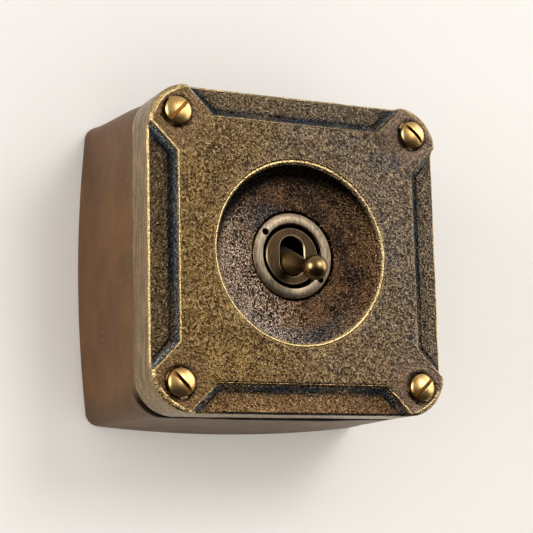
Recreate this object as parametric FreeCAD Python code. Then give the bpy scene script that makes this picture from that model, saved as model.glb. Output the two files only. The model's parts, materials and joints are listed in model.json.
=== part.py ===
"""Surface-mounted cast brass dolly switch with its two-way mechanism.

Millimetres, +Z up, +X to the right and +Y into the wall. The origin is the centre of the
cable entry, on the back face that lies against the wall. The front of the switch looks
along -Y. A depth is counted back from the raised face of the cover.
"""
import FreeCAD, Part
import math
import os

Vector = FreeCAD.Vector

# Whole switch
overall_depth = 57.5

# Cast cover
cover_width = 95.0
cover_corner_radius = 12.0
cover_edge_depth = 14.8
cover_front_fillet = 1.4
cover_back_chamfer = 0.5
cover_web = 6.3
cover_rim_wall = 4.4
cover_lip_height = 2.0
cover_lip_thickness = 2.2
cover_lip_length = 54.0
cover_lip_root = 0.5
lip_clearance = 0.3
dish_radius = 28.4
dish_rim_round = 0.8
dish_rim_inset = 0.2
dish_depth = 5.85
dish_floor_radius = 17.5
dish_boss_depth = 12.0
dish_boss_radius = 31.5
dish_boss_draft = 3.0
recess_inner_edge = 39.3
recess_half_length = 27.8
recess_depth = 2.4
recess_cove = 1.9

# Cover screws
screw_pitch = 79.0
screw_head_radius = 4.1
screw_head_side = 1.5
screw_head_dome = 1.4
screw_slot_width = 1.15
screw_slot_depth = 1.3
screw_shank_radius = 2.0
screw_length = 22.0
screw_slot_angles = {(-1, 1): 47.0, (1, 1): -42.0, (-1, -1): -47.0, (1, -1): 40.0}
screw_hole_clearance = 0.25
tapped_hole_clearance = 0.05
spot_face_margin = 0.6
spot_face_depth = 0.4
tapped_hole_extra = 4.0

# Cast back box, a little off the cover's centre at its mouth, as the old castings are
box_mouth_width = 96.2
box_mouth_corner = 10.5
box_mouth_bow = 0.3
box_mouth_shift_x = 0.5
box_mouth_shift_z = -0.4
box_back_width = 100.8
box_back_corner = 8.0
box_back_bow = 1.3
box_mouth_wall = 4.5
box_foot_wall = 6.8
box_cavity_corner = 7.0
box_back_wall = 4.0
box_mouth_chamfer = 0.7
pillar_radius = 6.0
cable_entry_radius = 10.0
wall_hole_spacing = 50.8
wall_hole_radius = 2.6

# Earth terminal on the floor of the box
earth_wall_distance = 8.1
earth_boss_radius = 4.6
earth_boss_height = 5.0
earth_washer_radius = 4.2
earth_washer_thickness = 1.0
earth_shank_radius = 1.75
earth_head_radius = 3.3
earth_head_side = 1.3
earth_head_dome = 0.7
earth_screw_end_gap = 0.5

# Threaded bush and the ring that screws on it
bush_face_depth = 6.48
bush_spigot_radius = 8.7
bush_spigot_length = 1.7
bush_thread_radius = 9.3
bush_face_plate = 2.0
bush_cavity_radius = 7.4
bush_shoulder_radius = 12.0
bush_shoulder_length = 4.4
bush_edge_chamfer = 0.3
slot_width = 8.1
slot_height = 12.2
ring_outer_radius = 12.8
ring_inner_radius = 9.83
ring_thickness = 3.6
ring_crown = 0.35
ring_front_land = 1.3
ring_thread_clearance = 0.1
ring_side_gap = 0.9
ring_hole_radius = 1.05
ring_hole_circle = 11.35
ring_hole_depth = 2.0
ring_hole_angle = 143.0
bush_hole_clearance = 0.4

# Washer and steel strap behind the cover
washer_thickness = 0.8
washer_radius = 14.5
strap_thickness = 1.6
strap_margin = 1.0
strap_corner = 4.0

# Dolly, its pin, plunger and spring
dolly_pivot_depth = 16.2
dolly_tilt = 13.5
dolly_length = 25.0
dolly_ball_radius = 3.45
dolly_neck_radius = 1.55
dolly_slot_radius = 3.35
dolly_boss_radius = 5.1
dolly_tail_radius = 3.2
dolly_tail_length = 8.0
dolly_bore_start = 2.4
dolly_pin_radius = 1.0
dolly_pin_clearance = 0.05
dolly_pin_end_gap = 0.3
pin_hole_clearance = 0.02
plunger_reach = 10.0
plunger_shoulder = 0.4
plunger_tip_radius = 1.5
plunger_stem_radius = 1.94
plunger_stem_start = 5.6
plunger_clearance = 0.06
spring_wire_radius = 0.2
spring_half_turns = 7
spring_side_gap = 0.12
spring_end_gap = 0.05

# See-saw contact and its bracket
rocker_swing = 9.0
rocker_lean = 18.0
rocker_gap = 0.25
rocker_vertex = 2.0
rocker_thickness = 1.0
rocker_width = 8.0
rocker_arm = 9.6
rocker_ear_radius = 1.9
rocker_pin_radius = 0.8
rocker_pin_clearance = 0.05
rocker_pin_overhang = 0.2
bracket_side_gap = 0.6
bracket_thickness = 1.0
bracket_ear_width = 4.4
moving_tip_radius = 1.5
moving_tip_height = 1.5
moving_tip_place = 7.4
tip_dome = 0.35
contact_gap = 0.2
fixed_tip_radius = 1.9

# Moulded body, its base and the terminals
body_width = 34.0
body_height = 44.0
body_corner = 2.5
shoulder_pocket_clearance = 0.3
tail_window_width = 9.0
tail_window_height = 14.0
tail_window_corner = 2.0
chamber_front_wall = 1.6
chamber_width = 16.0
chamber_height = 27.0
chamber_corner = 1.5
base_behind_rocker = 2.2
base_thickness = 7.0
strip_thickness = 1.0
strip_width = 7.0
strip_start = 5.2
strip_overlap = 1.0
pad_length = 8.5
terminal_screw_place = 4.6
terminal_shank_radius = 1.5
terminal_shank_length = 5.0
terminal_head_radius = 2.6
terminal_head_side = 1.3
terminal_head_dome = 0.5
small_slot_width = 0.7
small_slot_depth = 0.8
clamp_width = 6.6
clamp_thickness = 1.0
clamp_corner = 0.8
body_screw_side_edge = 3.6
body_screw_end_edge = 3.8
body_screw_radius = 1.5

# Places that follow from the sizes above
cover_half = cover_width / 2
screw_place = screw_pitch / 2
box_cavity_half = box_mouth_width / 2 - box_mouth_wall
box_floor_half = box_back_width / 2 - box_foot_wall
earth_z = earth_wall_distance - box_floor_half
body_screw_x = body_width / 2 - body_screw_side_edge
body_screw_z = body_height / 2 - body_screw_end_edge
seat_depth = dish_depth + ring_thickness
washer_depth = dish_boss_depth
strap_depth = washer_depth + washer_thickness
shoulder_depth = strap_depth + strap_thickness
shoulder_back_depth = shoulder_depth + bush_shoulder_length
box_floor_depth = overall_depth - box_back_wall
lean = math.radians(rocker_lean)
rocker_pivot_depth = (
    dolly_pivot_depth + plunger_reach + (plunger_tip_radius + rocker_gap) / math.cos(lean) + rocker_vertex
)
base_depth = rocker_pivot_depth + base_behind_rocker
base_back_depth = base_depth + base_thickness
strip_back_depth = base_back_depth + strip_thickness
clamp_back_depth = strip_back_depth + clamp_thickness
fourfold = ((1, 1), (-1, 1), (-1, -1), (1, -1))


def at(depth):
    """The Y of a plane that lies this far behind the raised face."""
    return depth - overall_depth


def save(node, shape):
    shape.exportStep("parts/" + node + ".step")


def cylinder(radius, depth_from, depth_to, x=0.0, z=0.0):
    """A round bar along Y between two depths."""
    return Part.makeCylinder(radius, depth_to - depth_from, Vector(x, at(depth_from), z), Vector(0, 1, 0))


def block(x_from, x_to, depth_from, depth_to, z_from, z_to):
    """A square-edged block between two values along each axis."""
    size = (x_to - x_from, depth_to - depth_from, z_to - z_from)
    return Part.makeBox(*size, Vector(x_from, at(depth_from), z_from))


def rounded_rectangle(half_x, half_z, corner, depth, bow=0.0, x=0.0, z=0.0):
    """A closed wire in the plane of one depth, with round corners and sides that swell by bow."""
    y = at(depth)
    inset = corner * (1 - math.sqrt(0.5))
    edges = []
    turn = ((1, 0), (0, 1), (-1, 0), (0, -1))
    for (nx, nz), (tx, tz) in zip(turn, turn[1:] + turn[:1]):
        reach = (half_x if nx else half_z) - bow
        along = (half_z if nx else half_x) - bow - corner
        start = Vector(x + nx * reach - tx * along, y, z + nz * reach - tz * along)
        end = Vector(x + nx * reach + tx * along, y, z + nz * reach + tz * along)
        if bow:
            middle = Vector(x + nx * (reach + bow), y, z + nz * (reach + bow))
            edges.append(Part.Arc(start, middle, end).toShape())
        else:
            edges.append(Part.LineSegment(start, end).toShape())
        corner_x = x + (nx + tx) * (half_x - bow - inset)
        corner_z = z + (nz + tz) * (half_z - bow - inset)
        far_reach = (half_z if nx else half_x) - bow
        near = (half_x if nx else half_z) - bow - corner
        corner_end = Vector(x + tx * far_reach + nx * near, y, z + tz * far_reach + nz * near)
        edges.append(Part.Arc(end, Vector(corner_x, y, corner_z), corner_end).toShape())
    return Part.Wire(edges)


def slab(half_x, half_z, corner, depth_from, depth_to, x=0.0, z=0.0):
    """A plate with round corners between two depths."""
    face = Part.Face(rounded_rectangle(half_x, half_z, corner, depth_from, 0.0, x, z))
    return face.extrude(Vector(0, depth_to - depth_from, 0))


def turned(profile, depth=0.0, x=0.0, z=0.0):
    """A solid of revolution about a line along Y. A profile entry (radius, back) is a point,
    and (radius, back, radius, back) is an arc through the first pair that ends at the second."""
    edges = []
    last = Vector(profile[0][0], profile[0][1], 0)
    for entry in profile[1:] + profile[:1]:
        end = Vector(entry[-2], entry[-1], 0)
        if len(entry) == 4:
            edges.append(Part.Arc(last, Vector(entry[0], entry[1], 0), end).toShape())
        elif (end - last).Length > 1e-6:
            edges.append(Part.LineSegment(last, end).toShape())
        last = end
    solid = Part.Face(Part.Wire(edges)).revolve(Vector(0, 0, 0), Vector(0, 1, 0), 360)
    solid.translate(Vector(x, at(depth), z))
    return solid


def edges_at(shape, depth, within=None):
    """The edges that lie wholly in the plane of one depth, and inside a radius if one is given."""
    found = []
    for edge in shape.Edges:
        box = edge.BoundBox
        flat = abs(box.YMin - at(depth)) < 1e-4 and abs(box.YMax - at(depth)) < 1e-4
        reach = max(abs(box.XMin), abs(box.XMax), abs(box.ZMin), abs(box.ZMax))
        if flat and (within is None or reach <= within):
            found.append(edge)
    return found


def slotted_screw(head_radius, side, dome, slot_width, slot_depth, shank_radius, length, slot_angle=0.0):
    """A screw whose head sits on the plane Y = 0 and looks along -Y, with a straight slot.
    The head has a short upright side and a domed top."""
    rise = side + dome
    half = head_radius / 2
    dome_radius = (head_radius**2 + dome**2) / (2 * dome)
    half_rise = side + dome - (dome_radius - math.sqrt(dome_radius**2 - half**2))
    screw = turned(
        [
            (0, -rise),
            (half, -half_rise, head_radius, -side),
            (head_radius, 0),
            (shank_radius, 0),
            (shank_radius, length - shank_radius / 2),
            (shank_radius / 2, length),
            (0, length),
        ],
        overall_depth,
    )
    slot = Part.makeBox(3 * head_radius, 2 * slot_depth, slot_width)
    slot.translate(Vector(-1.5 * head_radius, -rise - slot_depth, -slot_width / 2))
    slot.rotate(Vector(0, 0, 0), Vector(0, 1, 0), -slot_angle)
    return screw.cut(slot)


def contact_button(radius, height):
    """A round contact with a slightly domed end. It stands on Y = 0 and looks along +Y."""
    dome_radius = (radius**2 + tip_dome**2) / (2 * tip_dome)
    half = radius / 2
    half_rise = height - (dome_radius - math.sqrt(dome_radius**2 - half**2))
    return turned([(0, 0), (radius, 0), (radius, height - tip_dome), (half, half_rise, 0, height)], overall_depth)


def make_cover_plate():
    """The cast cover: raised field with arms to the corners, four edge recesses and a dish."""
    cover = slab(cover_half, cover_half, cover_corner_radius, 0, cover_edge_depth)
    cover = cover.makeFillet(cover_front_fillet, edges_at(cover, 0))
    cover = cover.makeChamfer(cover_back_chamfer, edges_at(cover, cover_edge_depth))
    for quarter in range(4):
        cover = cover.cut(recess_tool(90 * quarter))
    cover = cover.cut(dish_tool())
    cover = cover.cut(cylinder(ring_outer_radius + ring_side_gap, 0, seat_depth))
    cover = cover.cut(back_pocket_tool())
    cover = cover.cut(cylinder(bush_thread_radius + bush_hole_clearance, 0, overall_depth))
    for side_x, side_z in fourfold:
        x = side_x * screw_place
        z = side_z * screw_place
        cover = cover.cut(cylinder(screw_shank_radius + screw_hole_clearance, -1, overall_depth, x, z))
        cover = cover.cut(cylinder(screw_head_radius + spot_face_margin, -1, spot_face_depth, x, z))
    return cover.fuse(cover_lips()).removeSplitter()


def recess_tool(angle):
    """What one edge recess removes: a trapezium open at the edge, with a cove at its foot."""
    outside = cover_half + 5
    spread = recess_half_length + outside - recess_inner_edge
    corners = [
        Vector(-recess_half_length, at(-1), recess_inner_edge),
        Vector(recess_half_length, at(-1), recess_inner_edge),
        Vector(spread, at(-1), outside),
        Vector(-spread, at(-1), outside),
    ]
    tool = Part.Face(Part.makePolygon(corners + corners[:1])).extrude(Vector(0, recess_depth + 1, 0))
    foot = [edge for edge in edges_at(tool, recess_depth) if edge.BoundBox.ZMin < outside - 1e-3]
    tool = tool.makeFillet(recess_cove, foot)
    tool.rotate(Vector(0, 0, 0), Vector(0, 1, 0), angle)
    return tool


def dish_tool():
    """What the dish removes: a rounded rim, a hollow wall and a flat floor."""
    wall_start = dish_radius - dish_rim_inset
    wall_depth = dish_rim_round
    run = wall_start - dish_floor_radius
    fall = dish_depth - wall_depth
    wall_radius = (run**2 + fall**2) / (2 * fall)
    middle = dish_floor_radius + run / 2
    middle_depth = dish_depth - wall_radius + math.sqrt(wall_radius**2 - (run / 2) ** 2)
    rim = dish_radius + dish_rim_round
    rim_run = rim - wall_start
    rim_radius = (rim_run**2 + wall_depth**2) / (2 * wall_depth)
    half_turn = math.asin(rim_run / rim_radius) / 2
    rim_middle = rim - rim_radius * math.sin(half_turn)
    rim_middle_depth = rim_radius * (1 - math.cos(half_turn))
    return turned(
        [
            (0, -1),
            (rim, -1),
            (rim, 0),
            (rim_middle, rim_middle_depth, wall_start, wall_depth),
            (middle, middle_depth, dish_floor_radius, dish_depth),
            (0, dish_depth),
        ]
    )


def back_pocket_tool():
    """What is cored out behind the cover, round the back of the dish and the screw columns."""
    inner = cover_half - cover_rim_wall
    corner = cover_corner_radius - cover_rim_wall
    pocket = slab(inner, inner, corner, cover_web, cover_edge_depth)
    dish_back = Part.makeCone(
        dish_boss_radius,
        dish_boss_radius - dish_boss_draft,
        dish_boss_depth - cover_web,
        Vector(0, at(cover_web), 0),
        Vector(0, 1, 0),
    )
    pocket = pocket.cut(dish_back)
    for side_x, side_z in fourfold:
        column = cylinder(pillar_radius, cover_web, cover_edge_depth, side_x * screw_place, side_z * screw_place)
        pocket = pocket.cut(column)
    return pocket


def cover_lips():
    """Four ribs inside the cover's rim that drop into the mouth of the box."""
    outer = box_cavity_half - lip_clearance
    inner = outer - cover_lip_thickness
    root_depth = cover_web - cover_lip_root
    rib = block(-cover_lip_length / 2, cover_lip_length / 2, root_depth, cover_edge_depth, inner, outer)
    spigot = block(
        -cover_lip_length / 2,
        cover_lip_length / 2,
        cover_edge_depth,
        cover_edge_depth + cover_lip_height,
        inner,
        outer,
    )
    lip = rib.fuse(spigot)
    ribs = []
    for quarter in range(4):
        copy = lip.copy()
        copy.rotate(Vector(0, 0, 0), Vector(0, 1, 0), 90 * quarter)
        ribs.append(copy)
    return ribs


def make_cover_screws():
    """Four slotted screws with domed heads."""
    screws = []
    for (side_x, side_z), angle in screw_slot_angles.items():
        screw = slotted_screw(
            screw_head_radius,
            screw_head_side,
            screw_head_dome,
            screw_slot_width,
            screw_slot_depth,
            screw_shank_radius,
            screw_length,
            angle,
        )
        screw.translate(Vector(side_x * screw_place, at(spot_face_depth), side_z * screw_place))
        screws.append(screw)
    return Part.makeCompound(screws)


def make_back_box():
    """The cast box: it swells towards the wall, with a tapped pillar in each corner."""
    mouth = rounded_rectangle(
        box_mouth_width / 2,
        box_mouth_width / 2,
        box_mouth_corner,
        cover_edge_depth,
        box_mouth_bow,
        box_mouth_shift_x,
        box_mouth_shift_z,
    )
    back = rounded_rectangle(box_back_width / 2, box_back_width / 2, box_back_corner, overall_depth, box_back_bow)
    outside = Part.makeLoft([mouth, back], True, True)
    outside = outside.makeChamfer(box_mouth_chamfer, edges_at(outside, cover_edge_depth))
    cavity_mouth = rounded_rectangle(box_cavity_half, box_cavity_half, box_cavity_corner, cover_edge_depth)
    cavity_floor = rounded_rectangle(box_floor_half, box_floor_half, box_cavity_corner, box_floor_depth)
    cavity = Part.makeLoft([cavity_mouth, cavity_floor], True, True)
    for side_x, side_z in fourfold:
        x = side_x * screw_place
        z = side_z * screw_place
        cavity = cavity.cut(cylinder(pillar_radius, cover_edge_depth, overall_depth, x, z))
    earth_boss_top = box_floor_depth - earth_boss_height
    cavity = cavity.cut(cylinder(earth_boss_radius, earth_boss_top, overall_depth, 0, earth_z))
    box = outside.cut(cavity)
    hole_end = spot_face_depth + screw_length + tapped_hole_extra
    for side_x, side_z in fourfold:
        x = side_x * screw_place
        z = side_z * screw_place
        box = box.cut(cylinder(screw_shank_radius + tapped_hole_clearance, cover_edge_depth - 1, hole_end, x, z))
    earth_hole = cylinder(
        earth_shank_radius + tapped_hole_clearance, earth_boss_top - 1, box_floor_depth + 1, 0, earth_z
    )
    box = box.cut(earth_hole)
    for side in (-1, 1):
        hole = cylinder(wall_hole_radius, box_floor_depth - 1, overall_depth + 1, side * wall_hole_spacing / 2)
        box = box.cut(hole)
    return box.cut(cylinder(cable_entry_radius, box_floor_depth - 1, overall_depth + 1))


def make_bezel_ring():
    """The gently crowned ring that screws on the bush, with two holes for a pin spanner."""
    edge = dish_depth + ring_crown
    middle = (ring_inner_radius + ring_outer_radius) / 2
    thread = bush_thread_radius + ring_thread_clearance
    ring = turned(
        [
            (ring_inner_radius, edge),
            (middle, dish_depth, ring_outer_radius, edge),
            (ring_outer_radius, seat_depth),
            (thread, seat_depth),
            (thread, dish_depth + ring_front_land + ring_inner_radius - thread),
            (ring_inner_radius, dish_depth + ring_front_land),
        ]
    )
    for angle in (ring_hole_angle, ring_hole_angle + 180):
        x = ring_hole_circle * math.cos(math.radians(angle))
        z = ring_hole_circle * math.sin(math.radians(angle))
        ring = ring.cut(cylinder(ring_hole_radius, dish_depth - 1, dish_depth + ring_hole_depth, x, z))
    return ring


def make_slot_bush():
    """The threaded bush: a slotted face in front, a shoulder behind, and the dolly's pin across it."""
    neck_depth = bush_face_depth + bush_spigot_length
    bush = turned(
        [
            (0, bush_face_depth),
            (bush_spigot_radius - bush_edge_chamfer, bush_face_depth),
            (bush_spigot_radius, bush_face_depth + bush_edge_chamfer),
            (bush_spigot_radius, neck_depth),
            (bush_thread_radius, neck_depth + bush_thread_radius - bush_spigot_radius),
            (bush_thread_radius, shoulder_depth),
            (bush_shoulder_radius, shoulder_depth),
            (bush_shoulder_radius, shoulder_back_depth),
            (bush_cavity_radius, shoulder_back_depth),
            (bush_cavity_radius, bush_face_depth + bush_face_plate),
            (0, bush_face_depth + bush_face_plate),
        ]
    )
    slot = slab(
        slot_width / 2,
        slot_height / 2,
        slot_width / 2 - 0.001,
        bush_face_depth - 1,
        bush_face_depth + bush_face_plate + 1,
    )
    bush = bush.cut(slot)
    rim = edges_at(bush, bush_face_depth, slot_height / 2 + 0.1)
    bush = bush.makeChamfer(bush_edge_chamfer, rim)
    return bush.cut(cross_bar(dolly_pin_radius + pin_hole_clearance, 3 * bush_shoulder_radius, dolly_pivot_depth))


def cross_bar(radius, length, depth, z=0.0):
    """A round bar along X, centred on the middle of the switch."""
    return Part.makeCylinder(radius, length, Vector(-length / 2, at(depth), z), Vector(1, 0, 0))


def tilt_dolly(shape):
    """Turns a piece that was made on the dolly's axis down to its rest position."""
    shape.rotate(Vector(0, at(dolly_pivot_depth), 0), Vector(1, 0, 0), dolly_tilt)
    return shape


def make_dolly():
    """The turned brass dolly: ball, tapered shank, round pivot boss and hollow tail."""
    slot_reach = dolly_pivot_depth - bush_face_depth
    neck_reach = dolly_length - math.sqrt(dolly_ball_radius**2 - dolly_neck_radius**2)
    taper = (dolly_slot_radius - dolly_neck_radius) / (neck_reach - slot_reach)
    cone_radius = dolly_slot_radius + taper * slot_reach
    spread = 1 + taper**2
    reach = (cone_radius * taper + math.sqrt(dolly_boss_radius**2 * spread - cone_radius**2)) / spread
    root_radius = cone_radius - taper * reach
    tail_join = math.sqrt(dolly_boss_radius**2 - dolly_tail_radius**2)
    ball_angle = math.radians(60)
    dolly = turned(
        [
            (0, -dolly_length - dolly_ball_radius),
            (
                dolly_ball_radius * math.sin(ball_angle),
                -dolly_length - dolly_ball_radius * math.cos(ball_angle),
                dolly_neck_radius,
                -neck_reach,
            ),
            (root_radius, -reach),
            (dolly_boss_radius, 0, dolly_tail_radius, tail_join),
            (dolly_tail_radius, dolly_tail_length),
            (0, dolly_tail_length),
        ],
        dolly_pivot_depth,
    )
    bore = cylinder(
        plunger_stem_radius + plunger_clearance,
        dolly_pivot_depth + dolly_bore_start,
        dolly_pivot_depth + dolly_tail_length + 1,
    )
    pin_hole = cross_bar(dolly_pin_radius + dolly_pin_clearance, 3 * dolly_boss_radius, dolly_pivot_depth)
    return tilt_dolly(dolly.cut(bore).cut(pin_hole))


def make_dolly_pin():
    """The cross pin, flush with the shoulder of the bush."""
    return cross_bar(dolly_pin_radius, 2 * (bush_shoulder_radius - dolly_pin_end_gap), dolly_pivot_depth)


def make_plunger():
    """The round-nosed plunger in the dolly's tail."""
    shoulder = dolly_tail_length + plunger_shoulder
    plunger = turned(
        [
            (0, plunger_stem_start),
            (plunger_stem_radius, plunger_stem_start),
            (plunger_stem_radius, shoulder),
            (plunger_tip_radius, plunger_reach),
            (
                plunger_tip_radius * math.sqrt(0.5),
                plunger_reach + plunger_tip_radius * math.sqrt(0.5),
                0,
                plunger_reach + plunger_tip_radius,
            ),
        ],
        dolly_pivot_depth,
    )
    return tilt_dolly(plunger)


def make_plunger_spring():
    """The coil spring between the end of the bore and the plunger. Each half turn is half a
    round ring, tilted so that it climbs, and the halves run on into each other."""
    start = dolly_pivot_depth + dolly_bore_start + spring_wire_radius + spring_end_gap
    end = dolly_pivot_depth + plunger_stem_start - spring_wire_radius - spring_end_gap
    coil_radius = plunger_stem_radius + plunger_clearance - spring_side_gap - spring_wire_radius
    climb = (end - start) / spring_half_turns
    halves = []
    for index in range(spring_half_turns):
        side = 1 - 2 * (index % 2)
        first = Vector(side * coil_radius, at(start + index * climb), 0)
        last = Vector(-side * coil_radius, at(start + (index + 1) * climb), 0)
        section = Part.Face(Part.Wire(Part.makeCircle(spring_wire_radius, first, Vector(0, 0, 1))))
        axis = (last - first).cross(Vector(0, 0, side))
        halves.append(section.revolve((first + last) * 0.5, axis, 180))
    return tilt_dolly(halves[0].fuse(halves[1:]))


def rocker_section(along, behind, side):
    """A point of the see-saw's section, as Z and Y from its pivot while it is level. It lies
    this far along the upper (1) or lower (-1) arm, and this far behind the arm's front face."""
    z = side * (along * math.cos(lean) + behind * math.sin(lean))
    y = -rocker_vertex - along * math.sin(lean) + behind * math.cos(lean)
    return z, y


def swing(z, y, degrees):
    """The same point once the see-saw has turned, with the upper end going back for a plus angle."""
    angle = math.radians(degrees)
    return z * math.cos(angle) - y * math.sin(angle), z * math.sin(angle) + y * math.cos(angle)


def tilt_rocker(shape):
    """Turns a piece of the level see-saw to its rest position, with the upper end back."""
    shape.rotate(Vector(0, at(rocker_pivot_depth), 0), Vector(1, 0, 0), -rocker_swing)
    return shape


def make_contact_rocker():
    """The folded copper see-saw: two arms that lean forwards and two ears that hang on the pin."""
    outline = [rocker_section(rocker_arm, 0, 1), (0, -rocker_vertex), rocker_section(rocker_arm, 0, -1)]
    outline.append(rocker_section(rocker_arm, rocker_thickness, -1))
    outline.append((0, -rocker_vertex + rocker_thickness / math.cos(lean)))
    outline.append(rocker_section(rocker_arm, rocker_thickness, 1))
    half = rocker_width / 2
    corners = [Vector(-half, at(rocker_pivot_depth) + y, z) for z, y in outline]
    arms = Part.Face(Part.makePolygon(corners + corners[:1])).extrude(Vector(rocker_width, 0, 0))
    rocker = arms
    for side in (-1, 1):
        x_from = min(side * half, side * (half - rocker_thickness))
        disc = Part.makeCylinder(
            rocker_ear_radius, rocker_thickness, Vector(x_from, at(rocker_pivot_depth), 0), Vector(1, 0, 0)
        )
        web = block(
            x_from,
            x_from + rocker_thickness,
            rocker_pivot_depth - rocker_vertex + rocker_thickness / 2,
            rocker_pivot_depth,
            -rocker_ear_radius,
            rocker_ear_radius,
        )
        rocker = rocker.fuse(disc).fuse(web)
    rocker = rocker.cut(cross_bar(rocker_pin_radius + rocker_pin_clearance, 2 * rocker_width, rocker_pivot_depth))
    return tilt_rocker(rocker.removeSplitter())


def make_moving_tip(side):
    """The contact on the back of one arm of the see-saw."""
    z, y = rocker_section(moving_tip_place, rocker_thickness, side)
    tip = contact_button(moving_tip_radius, moving_tip_height)
    tip.rotate(Vector(0, 0, 0), Vector(1, 0, 0), side * rocker_lean)
    tip.translate(Vector(0, at(rocker_pivot_depth) + y, z))
    return tilt_rocker(tip)


def closed_contact():
    """Where the end of a moving contact stands when its side is closed, as Z and depth."""
    z, y = rocker_section(moving_tip_place, rocker_thickness + moving_tip_height, 1)
    z, y = swing(z, y, rocker_swing)
    return z, rocker_pivot_depth + y


def make_rocker_pin():
    """The pin of the see-saw, through the two ears of the common strip."""
    half = rocker_width / 2 + bracket_side_gap + bracket_thickness + rocker_pin_overhang
    return cross_bar(rocker_pin_radius, 2 * half, rocker_pivot_depth)


def make_common_strip():
    """The strip that carries the see-saw between two ears and ends in the common terminal."""
    inner = rocker_width / 2 + bracket_side_gap
    outer = inner + bracket_thickness
    half_ear = bracket_ear_width / 2
    strip = block(-outer, outer, base_depth, base_depth + strip_thickness, -half_ear, half_ear)
    for side in (-1, 1):
        x_from = min(side * inner, side * outer)
        ear = block(
            x_from, x_from + bracket_thickness, rocker_pivot_depth, base_depth + strip_thickness, -half_ear, half_ear
        )
        top = Part.makeCylinder(
            half_ear, bracket_thickness, Vector(x_from, at(rocker_pivot_depth), 0), Vector(1, 0, 0)
        )
        strip = strip.fuse(ear).fuse(top)
    tongue = terminal_strip(body_width / 2, outer - strip_overlap)
    tongue.rotate(Vector(0, 0, 0), Vector(0, 1, 0), -90)
    strip = strip.fuse(tongue)
    hole = cross_bar(rocker_pin_radius + pin_hole_clearance, 2 * body_width, rocker_pivot_depth)
    return strip.cut(hole).removeSplitter()


def terminal_strip(reach, start):
    """A strip in the base's front face that folds round its upper edge and ends in a pad behind."""
    half = strip_width / 2
    front = block(-half, half, base_depth, base_depth + strip_thickness, start, reach)
    edge = block(-half, half, base_depth, strip_back_depth, reach - strip_thickness, reach)
    pad = block(-half, half, base_back_depth, strip_back_depth, reach - pad_length, reach)
    strip = front.fuse(edge).fuse(pad)
    hole = cylinder(
        terminal_shank_radius + tapped_hole_clearance,
        base_back_depth - 1,
        strip_back_depth + 1,
        0,
        reach - terminal_screw_place,
    )
    return strip.cut(hole).removeSplitter()


def lower_copy(shape):
    """The same piece for the lower contact, mirrored in the middle of the switch."""
    return shape.mirror(Vector(0, 0, 0), Vector(0, 0, 1))


def make_upper_strip():
    return terminal_strip(body_height / 2, strip_start)


def make_upper_fixed_tip():
    """The fixed contact: a flat round rivet head under the moving contact."""
    z, depth = closed_contact()
    dome_radius = (moving_tip_radius**2 + tip_dome**2) / (2 * tip_dome)
    reach = dome_radius * (1 - math.cos(math.radians(rocker_lean - rocker_swing)))
    return cylinder(fixed_tip_radius, depth + reach + contact_gap, base_depth, 0, z)


def make_switch_body():
    """The moulded body: pocket for the bush, window for the tail and chamber for the see-saw."""
    body = slab(body_width / 2, body_height / 2, body_corner, shoulder_depth, base_depth)
    pocket_depth = shoulder_back_depth + shoulder_pocket_clearance
    body = body.cut(cylinder(bush_shoulder_radius + shoulder_pocket_clearance, shoulder_depth - 1, pocket_depth))
    window = slab(
        tail_window_width / 2, tail_window_height / 2, tail_window_corner, shoulder_depth, base_depth + 1
    )
    body = body.cut(window)
    chamber_depth = pocket_depth + chamber_front_wall
    chamber = slab(chamber_width / 2, chamber_height / 2, chamber_corner, chamber_depth, base_depth + 1)
    body = body.cut(chamber)
    return body.cut(body_screw_holes(shoulder_depth - 1, base_depth + 1))


def make_switch_base():
    """The moulded base: it closes the body and holds the strips and the terminals."""
    base = slab(body_width / 2, body_height / 2, body_corner, base_depth, base_back_depth)
    base = base.cut(strip_room(body_height / 2, strip_start))
    base = base.cut(lower_copy(strip_room(body_height / 2, strip_start)))
    outer = rocker_width / 2 + bracket_side_gap + bracket_thickness
    half_ear = bracket_ear_width / 2
    base = base.cut(block(-outer, outer, base_depth - 1, base_depth + strip_thickness, -half_ear, half_ear))
    side_room = strip_room(body_width / 2, outer - strip_overlap)
    side_room.rotate(Vector(0, 0, 0), Vector(0, 1, 0), -90)
    base = base.cut(side_room)
    return base.cut(body_screw_holes(base_depth - 1, base_back_depth + 1))


def strip_room(reach, start):
    """The groove of one strip in the base, with the tapped hole of its terminal screw."""
    half = strip_width / 2
    groove = block(-half, half, base_depth - 1, base_depth + strip_thickness, start, reach + 1)
    edge = block(-half, half, base_depth - 1, base_back_depth + 1, reach - strip_thickness, reach + 1)
    hole = cylinder(
        terminal_shank_radius + tapped_hole_clearance,
        base_depth + strip_thickness,
        base_back_depth + 1,
        0,
        reach - terminal_screw_place,
    )
    return groove.fuse(edge).fuse(hole)


def body_screw_holes(depth_from, depth_to):
    """The two holes for the long screws, as one tool."""
    radius = body_screw_radius + tapped_hole_clearance
    first = cylinder(radius, depth_from, depth_to, body_screw_x, body_screw_z)
    return first.fuse(cylinder(radius, depth_from, depth_to, -body_screw_x, -body_screw_z))


def make_body_screws():
    """Two long screws from the base through the body into the strap."""
    screws = []
    length = base_back_depth - strap_depth
    for side in (-1, 1):
        screw = rear_screw(length)
        screw.translate(Vector(side * body_screw_x, at(base_back_depth), side * body_screw_z))
        screws.append(screw)
    return Part.makeCompound(screws)


def rear_screw(length):
    """A small slotted screw whose head looks back, towards the wall."""
    screw = slotted_screw(
        terminal_head_radius,
        terminal_head_side,
        terminal_head_dome,
        small_slot_width,
        small_slot_depth,
        terminal_shank_radius,
        length,
    )
    screw.rotate(Vector(0, 0, 0), Vector(0, 0, 1), 180)
    return screw


def terminal_places():
    """X and Z of the three terminal screws: upper, lower and common."""
    high = body_height / 2 - terminal_screw_place
    wide = body_width / 2 - terminal_screw_place
    return ((0, high), (0, -high), (-wide, 0))


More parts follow.
